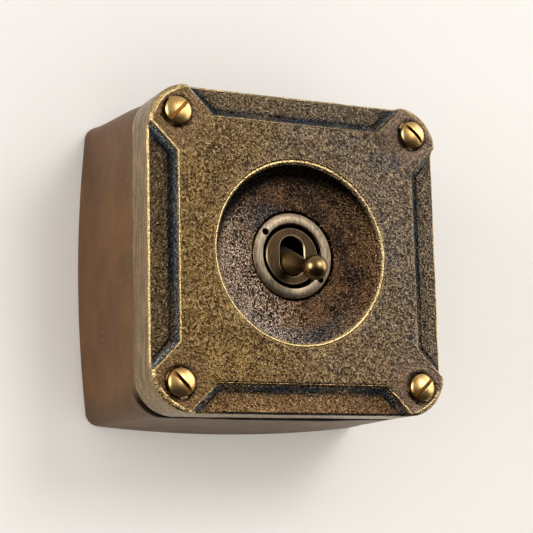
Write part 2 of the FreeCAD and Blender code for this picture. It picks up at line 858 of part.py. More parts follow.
def make_terminal_screws():
    screws = []
    for x, z in terminal_places():
        screw = rear_screw(terminal_shank_length)
        screw.translate(Vector(x, at(clamp_back_depth), z))
        screws.append(screw)
    return Part.makeCompound(screws)


def make_clamp_washers():
    """Square washers that hold a wire on each pad."""
    half = clamp_width / 2
    washers = []
    for x, z in terminal_places():
        washer = slab(half, half, clamp_corner, strip_back_depth, clamp_back_depth, x, z)
        hole = cylinder(
            terminal_shank_radius + screw_hole_clearance, strip_back_depth - 1, clamp_back_depth + 1, x, z
        )
        washers.append(washer.cut(hole))
    return Part.makeCompound(washers)


def make_body_strap():
    """The steel strap that the bush clamps against the cover."""
    half_x = body_width / 2 + strap_margin
    half_z = body_height / 2 + strap_margin
    strap = slab(half_x, half_z, strap_corner, strap_depth, shoulder_depth)
    strap = strap.cut(cylinder(bush_thread_radius + bush_hole_clearance, strap_depth - 1, shoulder_depth + 1))
    return strap.cut(body_screw_holes(strap_depth - 1, shoulder_depth + 1))


def make_locking_washer():
    """The washer between the cover and the strap."""
    washer = cylinder(washer_radius, washer_depth, strap_depth)
    return washer.cut(cylinder(bush_thread_radius + bush_hole_clearance, washer_depth - 1, strap_depth + 1))


def make_earth_washer():
    top = box_floor_depth - earth_boss_height
    washer = cylinder(earth_washer_radius, top - earth_washer_thickness, top, 0, earth_z)
    hole = cylinder(
        earth_shank_radius + screw_hole_clearance, top - earth_washer_thickness - 1, top + 1, 0, earth_z
    )
    return washer.cut(hole)


def make_earth_screw():
    """The earth screw in its boss, with its head towards the front."""
    top = box_floor_depth - earth_boss_height
    screw = slotted_screw(
        earth_head_radius,
        earth_head_side,
        earth_head_dome,
        small_slot_width,
        small_slot_depth,
        earth_shank_radius,
        earth_washer_thickness + earth_boss_height - earth_screw_end_gap,
    )
    screw.translate(Vector(0, at(top - earth_washer_thickness), earth_z))
    return screw


def main():
    os.makedirs("parts", exist_ok=True)
    save("back_box", make_back_box())
    save("cover_plate", make_cover_plate())
    save("cover_screws", make_cover_screws())
    save("bezel_ring", make_bezel_ring())
    save("slot_bush", make_slot_bush())
    save("locking_washer", make_locking_washer())
    save("body_strap", make_body_strap())
    save("dolly", make_dolly())
    save("dolly_pin", make_dolly_pin())
    save("plunger", make_plunger())
    save("plunger_spring", make_plunger_spring())
    save("switch_body", make_switch_body())
    save("switch_base", make_switch_base())
    save("body_screws", make_body_screws())
    save("contact_rocker", make_contact_rocker())
    save("upper_moving_tip", make_moving_tip(1))
    save("lower_moving_tip", make_moving_tip(-1))
    save("rocker_pin", make_rocker_pin())
    save("common_strip", make_common_strip())
    save("upper_strip", make_upper_strip())
    save("lower_strip", lower_copy(make_upper_strip()))
    save("upper_fixed_tip", make_upper_fixed_tip())
    save("lower_fixed_tip", lower_copy(make_upper_fixed_tip()))
    save("terminal_screws", make_terminal_screws())
    save("clamp_washers", make_clamp_washers())
    save("earth_screw", make_earth_screw())
    save("earth_washer", make_earth_washer())


main()
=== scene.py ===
"""Looks of a surface-mounted cast brass dolly switch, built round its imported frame.

The frame is in metres, with +Z up, +X to the right and +Y into the wall. Lengths here are in
millimetres until MM turns them into metres, and a depth counts back from the cover's raised face.
"""

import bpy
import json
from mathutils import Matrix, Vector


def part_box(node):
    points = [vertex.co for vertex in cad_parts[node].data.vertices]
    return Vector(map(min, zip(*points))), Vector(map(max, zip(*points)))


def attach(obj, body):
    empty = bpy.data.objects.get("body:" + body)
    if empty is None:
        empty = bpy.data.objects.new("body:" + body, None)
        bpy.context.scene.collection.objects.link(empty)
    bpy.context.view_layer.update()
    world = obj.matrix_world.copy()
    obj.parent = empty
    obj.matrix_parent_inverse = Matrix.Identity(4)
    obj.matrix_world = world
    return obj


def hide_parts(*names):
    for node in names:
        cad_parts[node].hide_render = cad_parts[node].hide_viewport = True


bl_info = {
    "name": "Cast brass dolly switch",
    "version": (1, 0, 0),
    "blender": (4, 5, 0),
    "location": "3D View > Sidebar > Switch",
    "description": "Builds the castings, the turned pieces and the finishes of a brass dolly switch",
    "category": "Object",
}

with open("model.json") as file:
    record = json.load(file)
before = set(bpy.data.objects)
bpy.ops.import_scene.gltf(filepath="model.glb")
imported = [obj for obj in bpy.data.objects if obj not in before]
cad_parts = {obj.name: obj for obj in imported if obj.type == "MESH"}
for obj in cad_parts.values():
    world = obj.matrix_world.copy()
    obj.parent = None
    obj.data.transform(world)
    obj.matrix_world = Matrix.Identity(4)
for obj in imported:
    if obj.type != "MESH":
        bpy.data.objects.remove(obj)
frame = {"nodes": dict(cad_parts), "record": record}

import json
import math
from types import SimpleNamespace

import bmesh
import bpy
import numpy as np
from mathutils import Matrix, Vector

MM = 0.001
QUARTER_TURN = math.pi / 2
SHARP_ANGLE = 38.0
MERGE_DISTANCE = 0.0005
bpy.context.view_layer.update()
FACE_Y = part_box("cover_plate")[0].y
X, Y, Z = range(3)


def span(node, axis):
    """Where a node of the frame starts and ends along an axis, in millimetres."""
    origin = FACE_Y if axis == Y else 0.0
    return [round((corner[axis] - origin) / MM, 4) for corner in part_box(node)]


COVER_HALF = span("cover_plate", X)[1]
LIP_END = span("cover_plate", Y)[1]
BOX_BACK_HALF = span("back_box", X)[1]
COVER_BACK, OVERALL = span("back_box", Y)
RING_FRONT, RING_SEAT = span("bezel_ring", Y)
BUSH_FACE = span("slot_bush", Y)[0]
HUB_END = span("locking_washer", Y)[0]
DOLLY_PIVOT = sum(span("dolly_pin", Y)) / 2
PIN_RADIUS = span("dolly_pin", Z)[1]
SCREW_HEAD = 4.1
SCREW_PLACE = span("cover_screws", X)[1] - SCREW_HEAD
SHANK_END = span("cover_screws", Y)[1]
EARTH_HEIGHT = sum(span("earth_screw", Z)) / 2
EARTH_BOSS_TOP = span("earth_washer", Y)[1]


def linear(hex_colour):
    """The linear RGB of an sRGB hex colour."""
    values = [int(hex_colour[i : i + 2], 16) / 255 for i in (1, 3, 5)]
    return tuple(v / 12.92 if v <= 0.04045 else ((v + 0.055) / 1.055) ** 2.4 for v in values)


def length(name, description, millimetres):
    """A length that a user may change, given in millimetres and kept in metres."""
    return bpy.props.FloatProperty(
        name=name, description=description, default=millimetres * MM, unit="LENGTH", precision=5, min=0.0
    )


def colour(name, description, hex_colour):
    """A colour that a user may change."""
    return bpy.props.FloatVectorProperty(
        name=name,
        description=description,
        default=linear(hex_colour),
        size=3,
        subtype="COLOR",
        min=0.0,
        max=1.0,
    )


class CoverSizes(bpy.types.PropertyGroup):
    """Sizes of the cast cover."""

    swell: length("Swell", "How far the casting stands out beyond the drawn edge", 0.6)
    corner: length("Corner", "Radius of the cover's corners", 12.0)
    field_half: length("Field", "From the middle to the long edge of the raised field", 39.2)
    field_run: length("Field run", "Half of a long edge of the raised field", 27.8)
    recess: length("Recess", "Depth of the recesses along the edges", 2.4)
    cove: length("Cove", "Radius of the hollow at the foot of the step", 1.9)
    edge_round: length("Edge", "Rounding of the raised edges", 0.5)
    dish_radius: length("Dish", "Radius of the dish", 27.7)
    dish_depth: length("Dish depth", "Depth of the dish's floor", 5.85)
    dish_floor: length("Dish floor", "Radius where the dish's floor meets its wall", 17.5)
    waviness: length("Waviness", "Height of the casting's slow unevenness", 0.07)


class BoxSizes(bpy.types.PropertyGroup):
    """Sizes of the cast box."""

    mouth_half: length("Mouth", "Half of the width at the cover", 48.1)
    mouth_corner: length("Mouth corner", "Corner radius at the cover", 10.5)
    mouth_bow: length("Mouth bow", "Swell of a side at the cover", 0.3)
    back_corner: length("Back corner", "Corner radius at the wall", 4.5)
    back_bow: length("Back bow", "Swell of a side at the wall", 2.3)
    shift_x: length("Offset to the right", "How far the mouth sits to the right of the cover", 0.5)
    shift_down: length("Offset down", "How far the mouth sits below the cover's middle", 0.4)
    waviness: length("Waviness", "Height of the casting's slow unevenness", 0.09)


class TurnedSizes(bpy.types.PropertyGroup):
    """Sizes of the turned pieces."""

    screw_radius: length("Screw head", "Radius of a cover screw's head", SCREW_HEAD)
    screw_slot: length("Screw slot", "Width of a cover screw's slot", 1.15)
    screw_slot_depth: length("Screw slot depth", "Depth of a cover screw's slot", 1.3)
    ring_outer: length("Ring", "Outer radius of the bezel ring", 13.15)
    ring_inner: length("Ring bore", "Inner radius of the bezel ring at its face", 9.83)
    ring_hole: length("Spanner hole", "Radius of a spanner hole", 1.05)
    ball: length("Ball", "Radius of the dolly's ball", 3.75)
    neck: length("Neck", "Radius of the dolly where the ball begins", 1.55)
    root: length("Root", "Radius of the dolly at the bush's face", 3.45)
    boss: length("Boss", "Radius of the dolly's round pivot boss", 5.1)


class Finishes(bpy.types.PropertyGroup):
    """Colours of the finishes."""

    field_gold: colour("Field, golden", "Cast brass where the patina is thin", "#937341")
    field_olive: colour("Field, olive", "Cast brass with its usual patina", "#624c2d")
    field_grey: colour("Field, grey", "Cast brass where the patina is bluish brown", "#716255")
    pits: colour("Pits", "Patina in the grain's hollows", "#1a120b")
    worn: colour("Worn brass", "Brass rubbed bright on raised edges", "#e6ca90")
    # Painted highlight: this bright brass colour on the grain's tops stands in for sparkling glints.
    glint: colour("Glints", "Brass on the tops of the casting's grain", "#cdb58c")
    cove_blue: colour("Blue patina", "Blue-black patina at the foot of the steps", "#2a4456")
    dish_brown: colour("Dish", "Purplish brown patina of the dish", "#46362c")
    box_bronze: colour("Box", "Satin brown bronze of the box", "#7d5732")
    box_olive: colour("Box near the cover", "Olive bronze of the box near its mouth", "#746038")
    screw_brass: colour("Screws", "Polished brass of the screws", "#dcb676")
    nickel: colour("Ring", "Brushed antique nickel", "#7c7162")
    bush_dark: colour("Bush", "Dark brushed face of the bush", "#35291b")
    dolly: colour("Dolly", "Antique brass of the dolly", "#8f7650")


def own_names(group):
    """The names of the properties that a property group was given here."""
    return [name for name in group.bl_rna.properties.keys() if name not in ("rna_type", "name")]


def sizes(group):
    """A property group's lengths in millimetres, as a plain dictionary."""
    return {name: getattr(group, name) / MM for name in own_names(group)}


def place(x, depth, z):
    """Points in the frame from millimetres across, depth behind the raised face, and height."""
    x, depth, z = np.broadcast_arrays(x, depth, z)
    return np.stack([x * MM, FACE_Y + depth * MM, z * MM], axis=-1)


def smooth(t):
    """3t^2 - 2t^3 between 0 and 1, and flat outside."""
    t = np.clip(t, 0.0, 1.0)
    return t * t * (3.0 - 2.0 * t)


def ripple(points, wavelength, seed, waves=28):
    """Unevenness of a casting: a sum of plane waves sin(2 pi d.p / l + phase), in random
    directions d and with lengths l round the given one, scaled to an even strength."""
    chance = np.random.default_rng(seed)
    direction = chance.normal(size=(waves, 3))
    direction /= np.linalg.norm(direction, axis=1)[:, None]
    pitch = wavelength * MM * chance.uniform(0.6, 1.6, waves)
    phase = chance.uniform(0.0, 2.0 * math.pi, waves)
    turns = points.reshape(-1, 3) @ (direction / pitch[:, None]).T
    height = np.sin(2.0 * math.pi * turns + phase).sum(axis=1) * math.sqrt(2.0 / waves)
    return height.reshape(points.shape[:-1])


def signed_volume(points, quads):
    """Six times the volume inside a closed surface, negative if its faces look inwards: the sum
    over its triangles of a . (b x c)."""
    a, b, c, d = (points[quads[:, i]] for i in range(4))
    first = np.einsum("ij,ij->i", a, np.cross(b, c))
    return (first + np.einsum("ij,ij->i", a, np.cross(c, d))).sum()


def surface(name, grid, masks=None, closed=(True, True), sharp=SHARP_ANGLE):
    """A mesh object of a grid of points that is a function of two parameters. Neighbours in the
    grid are joined by quads, and round the ends where the surface is closed."""
    count = np.arange(grid.shape[0] * grid.shape[1]).reshape(grid.shape[:2])
    if closed[0]:
        count = np.vstack([count, count[:1]])
    if closed[1]:
        count = np.hstack([count, count[:, :1]])
    quads = np.stack([count[:-1, :-1], count[1:, :-1], count[1:, 1:], count[:-1, 1:]], axis=-1).reshape(-1, 4)
    points = grid.reshape(-1, 3)
    if signed_volume(points, quads) < 0:
        quads = quads[:, ::-1]
    mesh = bpy.data.meshes.new(name)
    mesh.from_pydata(points.tolist(), [], quads.tolist())
    for key, values in (masks or {}).items():
        attribute = mesh.attributes.new(key, "FLOAT", "POINT")
        attribute.data.foreach_set("value", np.ascontiguousarray(values.reshape(-1), dtype=np.float32))
    tidy(mesh)
    shade(mesh, sharp)
    thing = bpy.data.objects.new(name, mesh)
    bpy.context.scene.collection.objects.link(thing)
    return thing


def tidy(mesh):
    """Merges points that coincide, as at poles."""
    work = bmesh.new()
    work.from_mesh(mesh)
    bmesh.ops.remove_doubles(work, verts=work.verts, dist=MERGE_DISTANCE * MM)
    bmesh.ops.dissolve_degenerate(work, edges=work.edges, dist=MERGE_DISTANCE * MM)
    work.to_mesh(mesh)
    work.free()


def shade(mesh, sharp):
    """Smooth shading, with edges over an angle in degrees kept sharp."""
    mesh.polygons.foreach_set("use_smooth", np.ones(len(mesh.polygons), dtype=bool))
    mesh.set_sharp_from_angle(angle=math.radians(sharp))
    mesh.update()


def settle(thing, sharp=SHARP_ANGLE):
    """Applies the modifiers of an object to its mesh."""
    graph = bpy.context.evaluated_depsgraph_get()
    made = bpy.data.meshes.new_from_object(thing.evaluated_get(graph))
    thing.modifiers.clear()
    old = thing.data
    thing.data = made
    bpy.data.meshes.remove(old)
    shade(made, sharp)


def cut(thing, tools, bevel=0.0, sharp=SHARP_ANGLE):
    """Cuts tools out of an object and deletes them, and may round the new edges a little."""
    for tool in tools:
        modifier = thing.modifiers.new("cut", "BOOLEAN")
        modifier.operation = "DIFFERENCE"
        modifier.solver = "EXACT"
        modifier.material_mode = "TRANSFER"
        modifier.object = tool
    if bevel:
        modifier = thing.modifiers.new("edges", "BEVEL")
        modifier.width = bevel * MM
        modifier.segments = 2
        modifier.limit_method = "ANGLE"
        modifier.angle_limit = math.radians(SHARP_ANGLE)
    settle(thing, sharp)
    for tool in tools:
        bpy.data.objects.remove(tool, do_unlink=True)


def joined(thing, others):
    """Joins other objects into the first."""
    with bpy.context.temp_override(active_object=thing, selected_editable_objects=[thing, *others]):
        bpy.ops.object.join()
    return thing


def arc_angles(start, end, steps):
    """Angles in radians between two in degrees."""
    return np.radians(np.linspace(start, end, steps))


def on_circle(radius, angle):
    """Points (x, z) at a radius and an angle: (r cos a, r sin a)."""
    return np.stack([radius * np.cos(angle), radius * np.sin(angle)], axis=-1)


def lathed(name, profile, x=0.0, z=0.0, steps=96, closed=False, sharp=SHARP_ANGLE):
    """A turned piece: a profile of (radius, depth) is carried round a line along Y, so that a
    point is (x + r cos a, depth, z + r sin a). A profile that isn't closed ends on the axis."""
    profile = np.array(profile, dtype=float)
    angle = np.linspace(0.0, 2.0 * math.pi, steps, endpoint=False)[:, None]
    radius = profile[None, :, 0]
    grid = place(x + radius * np.cos(angle), profile[None, :, 1], z + radius * np.sin(angle))
    return surface(name, grid, closed=(True, closed), sharp=sharp)


def prism(name, outline, depth_from, depth_to):
    """A straight bar along Y with the outline of a convex loop of points (x, z), closed by its
    middle."""
    outline = np.array(outline, dtype=float)
    middle = np.broadcast_to(outline.mean(axis=0), outline.shape)
    rings = [(middle, depth_from), (outline, depth_from), (outline, depth_to), (middle, depth_to)]
    grid = np.stack([place(loop[:, 0], depth, loop[:, 1]) for loop, depth in rings], axis=1)
    return surface(name, grid, closed=(True, False), sharp=30.0)


def circle(radius, x=0.0, z=0.0, steps=48):
    """A loop of points (x, z) on a circle."""
    return on_circle(radius, np.linspace(0.0, 2.0 * math.pi, steps, endpoint=False)) + np.array([x, z])


def turned_about(points, angle):
    """Points (x, z) turned clockwise about the middle by an angle in radians."""
    c, s = math.cos(angle), math.sin(angle)
    x, z = points[..., 0], points[..., 1]
    return np.stack([x * c + z * s, z * c - x * s], axis=-1)


SCREW_ANGLES = {(-1, 1): 47.0, (1, 1): -42.0, (-1, -1): -47.0, (1, -1): 40.0}
SCREW_SEAT = 0.4


def at_screws(name, profile, steps, closed=False):
    """The same turned piece at each of the four cover screws."""
    places = [(side_x * SCREW_PLACE, side_z * SCREW_PLACE) for side_x, side_z in SCREW_ANGLES]
    return [lathed(name, profile, x, z, steps=steps, closed=closed) for x, z in places]


def tube(inner, outer, depth_from, depth_to):
    """The closed profile of a straight tube, as (radius, depth)."""
    return [[inner, depth_from], [outer, depth_from], [outer, depth_to], [inner, depth_to]]


SIDE_EDGE_ROUND = 0.7
CORNER_EDGE_ROUND = 1.4
EDGE_INSET = 0.45
LONG_STEPS = 104
ARM_STEPS = 26
ARC_STEPS = 18
RECESS_ROWS = 7
NARROW_RECESS = 2.6
BOSS_SPREAD = 4.5


def cover_side(s):
    """One side of the cover, from the middle of its left corner to the middle of its right one.

    Gives, for each step along the raised field's boundary: the boundary point; the direction
    across the recess, whose length is 1 for 1 mm of distance from the boundary; the room to the
    outer edge; the outline's normal; the rounding of the outer edge; the share of the step's
    depth; and how far the last rows draw back over the corner boss."""
    cover_half = COVER_HALF + s["swell"]
    room = cover_half - SIDE_EDGE_ROUND - s["field_half"]
    lean = math.tan(math.radians(22.5))
    x = np.linspace(-s["field_run"], s["field_run"], LONG_STEPS + 1)
    along = np.linspace(0.0, 1.0, ARM_STEPS + 1)[1:]
    arm = np.stack([s["field_run"] + along * room, s["field_half"] + along * room], axis=-1)
    arc = np.linspace(90.0, 45.0, ARC_STEPS + 1)[:-1]
    outward = on_circle(1.0, np.radians(arc))
    upward = np.tile([0.0, 1.0], (ARM_STEPS, 1))
    edge = SIDE_EDGE_ROUND + (CORNER_EDGE_ROUND - SIDE_EDGE_ROUND) * smooth((90.0 - arc) / 25.0)
    boss = cover_half - s["corner"] + (s["corner"] - edge)[:, None] * outward
    half = {
        "point": np.concatenate([arm, boss]),
        "across": np.concatenate([np.tile([-lean, 1.0], (ARM_STEPS, 1)), outward]),
        "room": np.concatenate([room * (1.0 - along), 0.0 * arc]),
        "normal": np.concatenate([upward, outward]),
        "edge": np.concatenate([SIDE_EDGE_ROUND + 0.0 * along, edge]),
        "share": np.concatenate([1.0 + 0.0 * along, 1.0 - smooth((90.0 - arc) / 14.0)]),
        "draw": np.concatenate([0.0 * along, smooth((90.0 - arc) / 20.0)]),
    }
    middle = {
        "point": np.stack([x, s["field_half"] + 0.0 * x], axis=-1),
        "across": np.stack([-lean * x / s["field_run"], 1.0 + 0.0 * x], axis=-1),
        "room": room + 0.0 * x,
        "normal": np.stack([0.0 * x, 1.0 + 0.0 * x], axis=-1),
        "edge": SIDE_EDGE_ROUND + 0.0 * x,
        "share": 1.0 + 0.0 * x,
        "draw": 0.0 * x,
    }
    flip = np.array([-1.0, 1.0])
    side = {}
    for key, values in half.items():
        mirrored = values[::-1] * (flip if values.ndim == 2 else 1.0)
        side[key] = np.concatenate([mirrored, middle[key], values])
    return side


def cover_loop(s):
    """The four sides in a row: each is the first one turned by a quarter more."""
    loop = {}
    for key, values in cover_side(s).items():
        if values.ndim == 2:
            loop[key] = np.concatenate([turned_about(values, QUARTER_TURN * k) for k in range(4)])
        else:
            loop[key] = np.tile(values, 4)
    return loop


COVE_START = 0.05


def step_profile(s):
    """Across the raised edge: distance from the boundary and depth below the field. A small
    outward round, then the hollow cove down to the recess floor."""
    turn = arc_angles(0.0, 78.0, 6)
    top = np.stack([-EDGE_INSET + s["edge_round"] * np.sin(turn), s["edge_round"] * (1.0 - np.cos(turn))], -1)
    fall = s["recess"] - s["cove"]
    sweep = arc_angles(5.0, 90.0, 10)
    foot = np.stack([COVE_START + s["cove"] * (1.0 - np.cos(sweep)), fall + s["cove"] * np.sin(sweep)], -1)
    return top, foot


def step_depth(distance, s):
    """The step's depth at a distance from the boundary, as step_profile draws it."""
    convex = s["edge_round"] - np.sqrt(np.maximum(s["edge_round"] ** 2 - (distance + EDGE_INSET) ** 2, 0.0))
    hollow = np.clip(COVE_START + s["cove"] - distance, 0.0, s["cove"])
    concave = s["recess"] - s["cove"] + np.sqrt(s["cove"] ** 2 - hollow**2)
    depth = np.where(distance < COVE_START, convex, concave)
    return np.where(distance <= -EDGE_INSET, 0.0, depth)


BORE = 9.7
COUNTERBORE = 13.7
SEAT_ROUND = 0.3
LIP_ROUND = 0.35
RIM_DROP = 0.8


def dish_profile(s):
    """From the bore outwards: the ring's seat, the counterbore, the dish's floor, its hollow
    wall and its rounded rim, as (radius, depth)."""
    start = s["dish_radius"] - 0.2
    rim = s["dish_radius"] + 0.8
    run, fall = start - s["dish_floor"], s["dish_depth"] - RIM_DROP
    radius = (run**2 + fall**2) / (2.0 * fall)
    wall = np.linspace(s["dish_floor"], start, 18)[1:]
    wall_depth = s["dish_depth"] - radius + np.sqrt(radius**2 - (wall - s["dish_floor"]) ** 2)
    rim_radius = ((rim - start) ** 2 + RIM_DROP**2) / (2.0 * RIM_DROP)
    turn = np.linspace(math.asin((rim - start) / rim_radius), 0.0, 7)[1:]
    floor = np.linspace(COUNTERBORE + LIP_ROUND, s["dish_floor"], 6)
    lip = arc_angles(0.0, 90.0, 4)[:-1]
    seat = [[BORE, HUB_END], [BORE, RING_SEAT]]
    seat += [[COUNTERBORE - SEAT_ROUND, RING_SEAT], [COUNTERBORE, RING_SEAT - SEAT_ROUND]]
    lip_radius = COUNTERBORE + LIP_ROUND * (1 - np.cos(lip))
    return np.concatenate(
        [
            seat,
            np.stack([lip_radius, s["dish_depth"] + LIP_ROUND * (1 - np.sin(lip))], -1),
            np.stack([floor, s["dish_depth"] + 0.0 * floor], -1),
            np.stack([wall, wall_depth], -1),
            np.stack([rim - rim_radius * np.sin(turn), rim_radius * (1.0 - np.cos(turn))], -1),
        ]
    )


def recess_distances(loop, top, foot):
    """How far from the boundary each row runs over the step and the recess. The rows draw
    together where the recess narrows, and turn back on the field over the corner boss."""
    room = loop["room"][:, None]
    squeeze = np.minimum(1.0, room / NARROW_RECESS)
    first = np.broadcast_to(top[:, 0], (len(squeeze), len(top)))
    first = np.where(first > 0, first * squeeze, first)
    second = foot[:, 0] * squeeze
    share = np.linspace(0.0, 1.0, RECESS_ROWS + 1)[1:]
    third = second[:, -1:] + (room - second[:, -1:]) * share
    distance = np.minimum(np.concatenate([first, second, third], axis=1), room)
    draw = loop["draw"][:, None]
    drawn = np.linspace(-EDGE_INSET, 0.0, distance.shape[1])
    return distance * (1.0 - draw) + drawn * (1.0 + BOSS_SPREAD * draw) * draw


BACK_CHAMFER = 0.5
COVER_WALL = 4.4
COVER_INNER = 6.3
HUB_FOOT, HUB_TOP = 31.5, 28.5


def cover_back(skin, normal, angle):
    """Behind the cover, from its chamfered back edge inwards: the wall, the inner face and the
    hub under the dish, as points (x, z) and their depths."""
    inset = np.array([BACK_CHAMFER, COVER_WALL, COVER_WALL])
    wall = skin - normal[:, None, :] * inset[None, :, None]
    hub = on_circle(np.array([HUB_FOOT, HUB_TOP]), angle)
    web = wall[:, -1:] + (hub[:, :1] - wall[:, -1:]) * np.array([0.33, 0.67])[None, :, None]
    depth = [COVER_BACK, COVER_BACK, COVER_INNER, COVER_INNER, COVER_INNER, COVER_INNER, HUB_END]
    return np.concatenate([wall, web, hub], axis=1), np.broadcast_to(depth, (len(skin), len(depth)))


# The cover's rows in their order. The rows after its sides are its back.
DISH, FIELD, TOP, FOOT, RECESS, EDGE, SIDE = range(7)
DISH_SEAT_ROWS = 7


def make_cover(s):
    """The cast cover as one closed surface of two parameters. One runs round the raised field's
    boundary. The other runs from the bore over the dish, the field, the step, the recess and
    the edge, and back behind the cover to the bore."""
    loop = cover_loop(s)
    top, foot = step_profile(s)
    distance = recess_distances(loop, top, foot)
    step = step_depth(distance, s) * loop["share"][:, None]
    rows = loop["point"][:, None, :] + loop["across"][:, None, :] * distance[..., None]
    angle = np.arctan2(rows[:, 0, 1], rows[:, 0, 0])[:, None]

    profile = dish_profile(s)
    dish = on_circle(profile[:, 0], angle)
    field = dish[:, -1:] + (rows[:, :1] - dish[:, -1:]) * np.linspace(0.0, 1.0, 25)[1:-1][None, :, None]

    bend = arc_angles(0.0, 90.0, 7)[1:]
    rounding = loop["edge"][:, None]
    edge = rows[:, -1:] + loop["normal"][:, None, :] * (rounding * np.sin(bend))[..., None]
    edge_depth = step[:, -1:] + rounding * (1.0 - np.cos(bend))
    down = np.linspace(0.0, 1.0, 9)[1:]
    side = np.broadcast_to(edge[:, -1:], (len(edge), len(down), 2))
    side_depth = edge_depth[:, -1:] + (COVER_BACK - BACK_CHAMFER - edge_depth[:, -1:]) * down
    back, back_depth = cover_back(edge[:, -1:], loop["normal"], angle)

    flat = np.zeros((len(edge), field.shape[1]))
    dish_depth = np.broadcast_to(profile[:, 1], dish.shape[:2])
    across = np.concatenate([dish, field, rows, edge, side, back], axis=1)
    depth = np.concatenate([dish_depth, flat, step, edge_depth, side_depth, back_depth], axis=1)
    recess_parts = [len(top), len(foot), RECESS_ROWS]
    counts = [dish.shape[1], field.shape[1], *recess_parts, len(bend), len(down), back.shape[1]]
    kind = np.repeat(np.arange(len(counts)), counts)
    grid = place(across[..., 0], depth, across[..., 1])
    cast_unevenly(grid, kind, loop["normal"], s["waviness"])
    return surface("cover_casting", grid, cover_masks(across, kind, distance, loop, s))


def cast_unevenly(grid, kind, normal, waviness):
    """Makes the cover's front uneven in depth, most of all in the recesses and fading over the
    edge, and its sides uneven outwards."""
    front = waviness * (ripple(grid, 24.0, 3) + 0.55 * ripple(grid, 6.0, 5) + 0.35 * ripple(grid, 2.4, 6))
    open_dish = (kind == DISH) & (np.arange(len(kind)) >= DISH_SEAT_ROWS)
    rough = np.where(kind == RECESS, 1.7, 1.0) * (np.isin(kind, [FIELD, TOP, FOOT, RECESS]) | open_dish)
    rough[kind == EDGE] = np.linspace(1.0, 0.0, (kind == EDGE).sum() + 1)[1:]
    grid[..., 1] += front * rough * MM
    outwards = 0.5 * waviness * (ripple(grid, 18.0, 8) + 0.4 * ripple(grid, 4.0, 9)) - 0.05
    shift = normal[:, None, :] * (outwards * np.isin(kind, [EDGE, SIDE]))[..., None] * MM
    grid[..., 0] += shift[..., 0]
    grid[..., 2] += shift[..., 1]


def bell(value, middle, width):
    """A bell curve: 1 at its middle and exp(-1) a width away from it."""
    return np.exp(-(((value - middle) / width) ** 2))


def cover_masks(across, kind, distance, loop, s):
    """Where the finishes change, from 0 to 1 at each point of the cover's surface."""
    count = across.shape[:2]
    radius = np.hypot(across[..., 0], across[..., 1])
    rows = slice(np.argmax(kind == TOP), np.argmax(kind == EDGE))
    share, draw = loop["share"][:, None], loop["draw"][:, None]
    worn, cove, step = np.zeros(count), np.zeros(count), np.zeros(count)
    worn[:, rows] = np.maximum(bell(distance, -0.12, 0.2) * (1.0 - draw), bell(distance, -0.1, 0.22) * draw)
    cove[:, rows] = smooth((distance - 0.5) / 0.6) * (1.0 - smooth((distance - 1.5) / 2.6)) * share
    step[:, rows] = smooth(distance / 0.25) * (1.0 - smooth((distance - 0.7) / 0.6)) * share
    worn = np.maximum(worn, bell(radius, s["dish_radius"] + 0.3, 0.42) * np.isin(kind, [DISH, FIELD]))
    worn[:, kind == EDGE] = np.linspace(0.9, 0.1, (kind == EDGE).sum()) * (1.0 - 0.6 * draw)
    screw = np.hypot(np.abs(across[..., 0]) - SCREW_PLACE, np.abs(across[..., 1]) - SCREW_PLACE)
    return {
        "worn": worn,
        "cove": cove,
        "step": step,
        "dish": (kind == DISH)[None, :] * (1.0 - smooth((radius - s["dish_radius"] + 0.8) / 0.8)),
        "boss": (1.0 - smooth((screw - 5.5) / 8.5)) * (kind < EDGE),
        "flank": np.broadcast_to((kind >= EDGE) * 1.0, count),
        "floor": np.broadcast_to((kind == RECESS) * 1.0, count) * share,
    }


def rounded_square(half, corner, bow, x=0.0, z=0.0, side_steps=56, corner_steps=18):
    """A loop of a square with round corners whose sides swell outwards: along a side the
    distance from the middle is half - bow (t^2), with t from -1 to 1."""
    t = np.linspace(-1.0, 1.0, side_steps, endpoint=False)
    reach = half - bow - corner
    side = np.stack([t * reach, half - bow * t**2], -1)
    outward = on_circle(1.0, np.radians(np.linspace(90.0, 0.0, corner_steps, endpoint=False)))
    normal = np.concatenate([np.tile([0.0, 1.0], (side_steps, 1)), outward])
    quarter = np.concatenate([side, reach + corner * outward])
    loop = np.concatenate([turned_about(quarter, QUARTER_TURN * k) for k in range(4)])
    normals = np.concatenate([turned_about(normal, QUARTER_TURN * k) for k in range(4)])
    return loop + np.array([x, z]), normals


CAVITY_HALF = 43.6
CAVITY_CORNER = 7.0
ENTRY_RADIUS = 10.0
BOX_FLOOR = 4.0
FOOT_ROUND = 0.5
MOUTH_ROUND = 0.7
LOWER_MOUTH_ROUND = 1.7
BACK_ROWS = 14


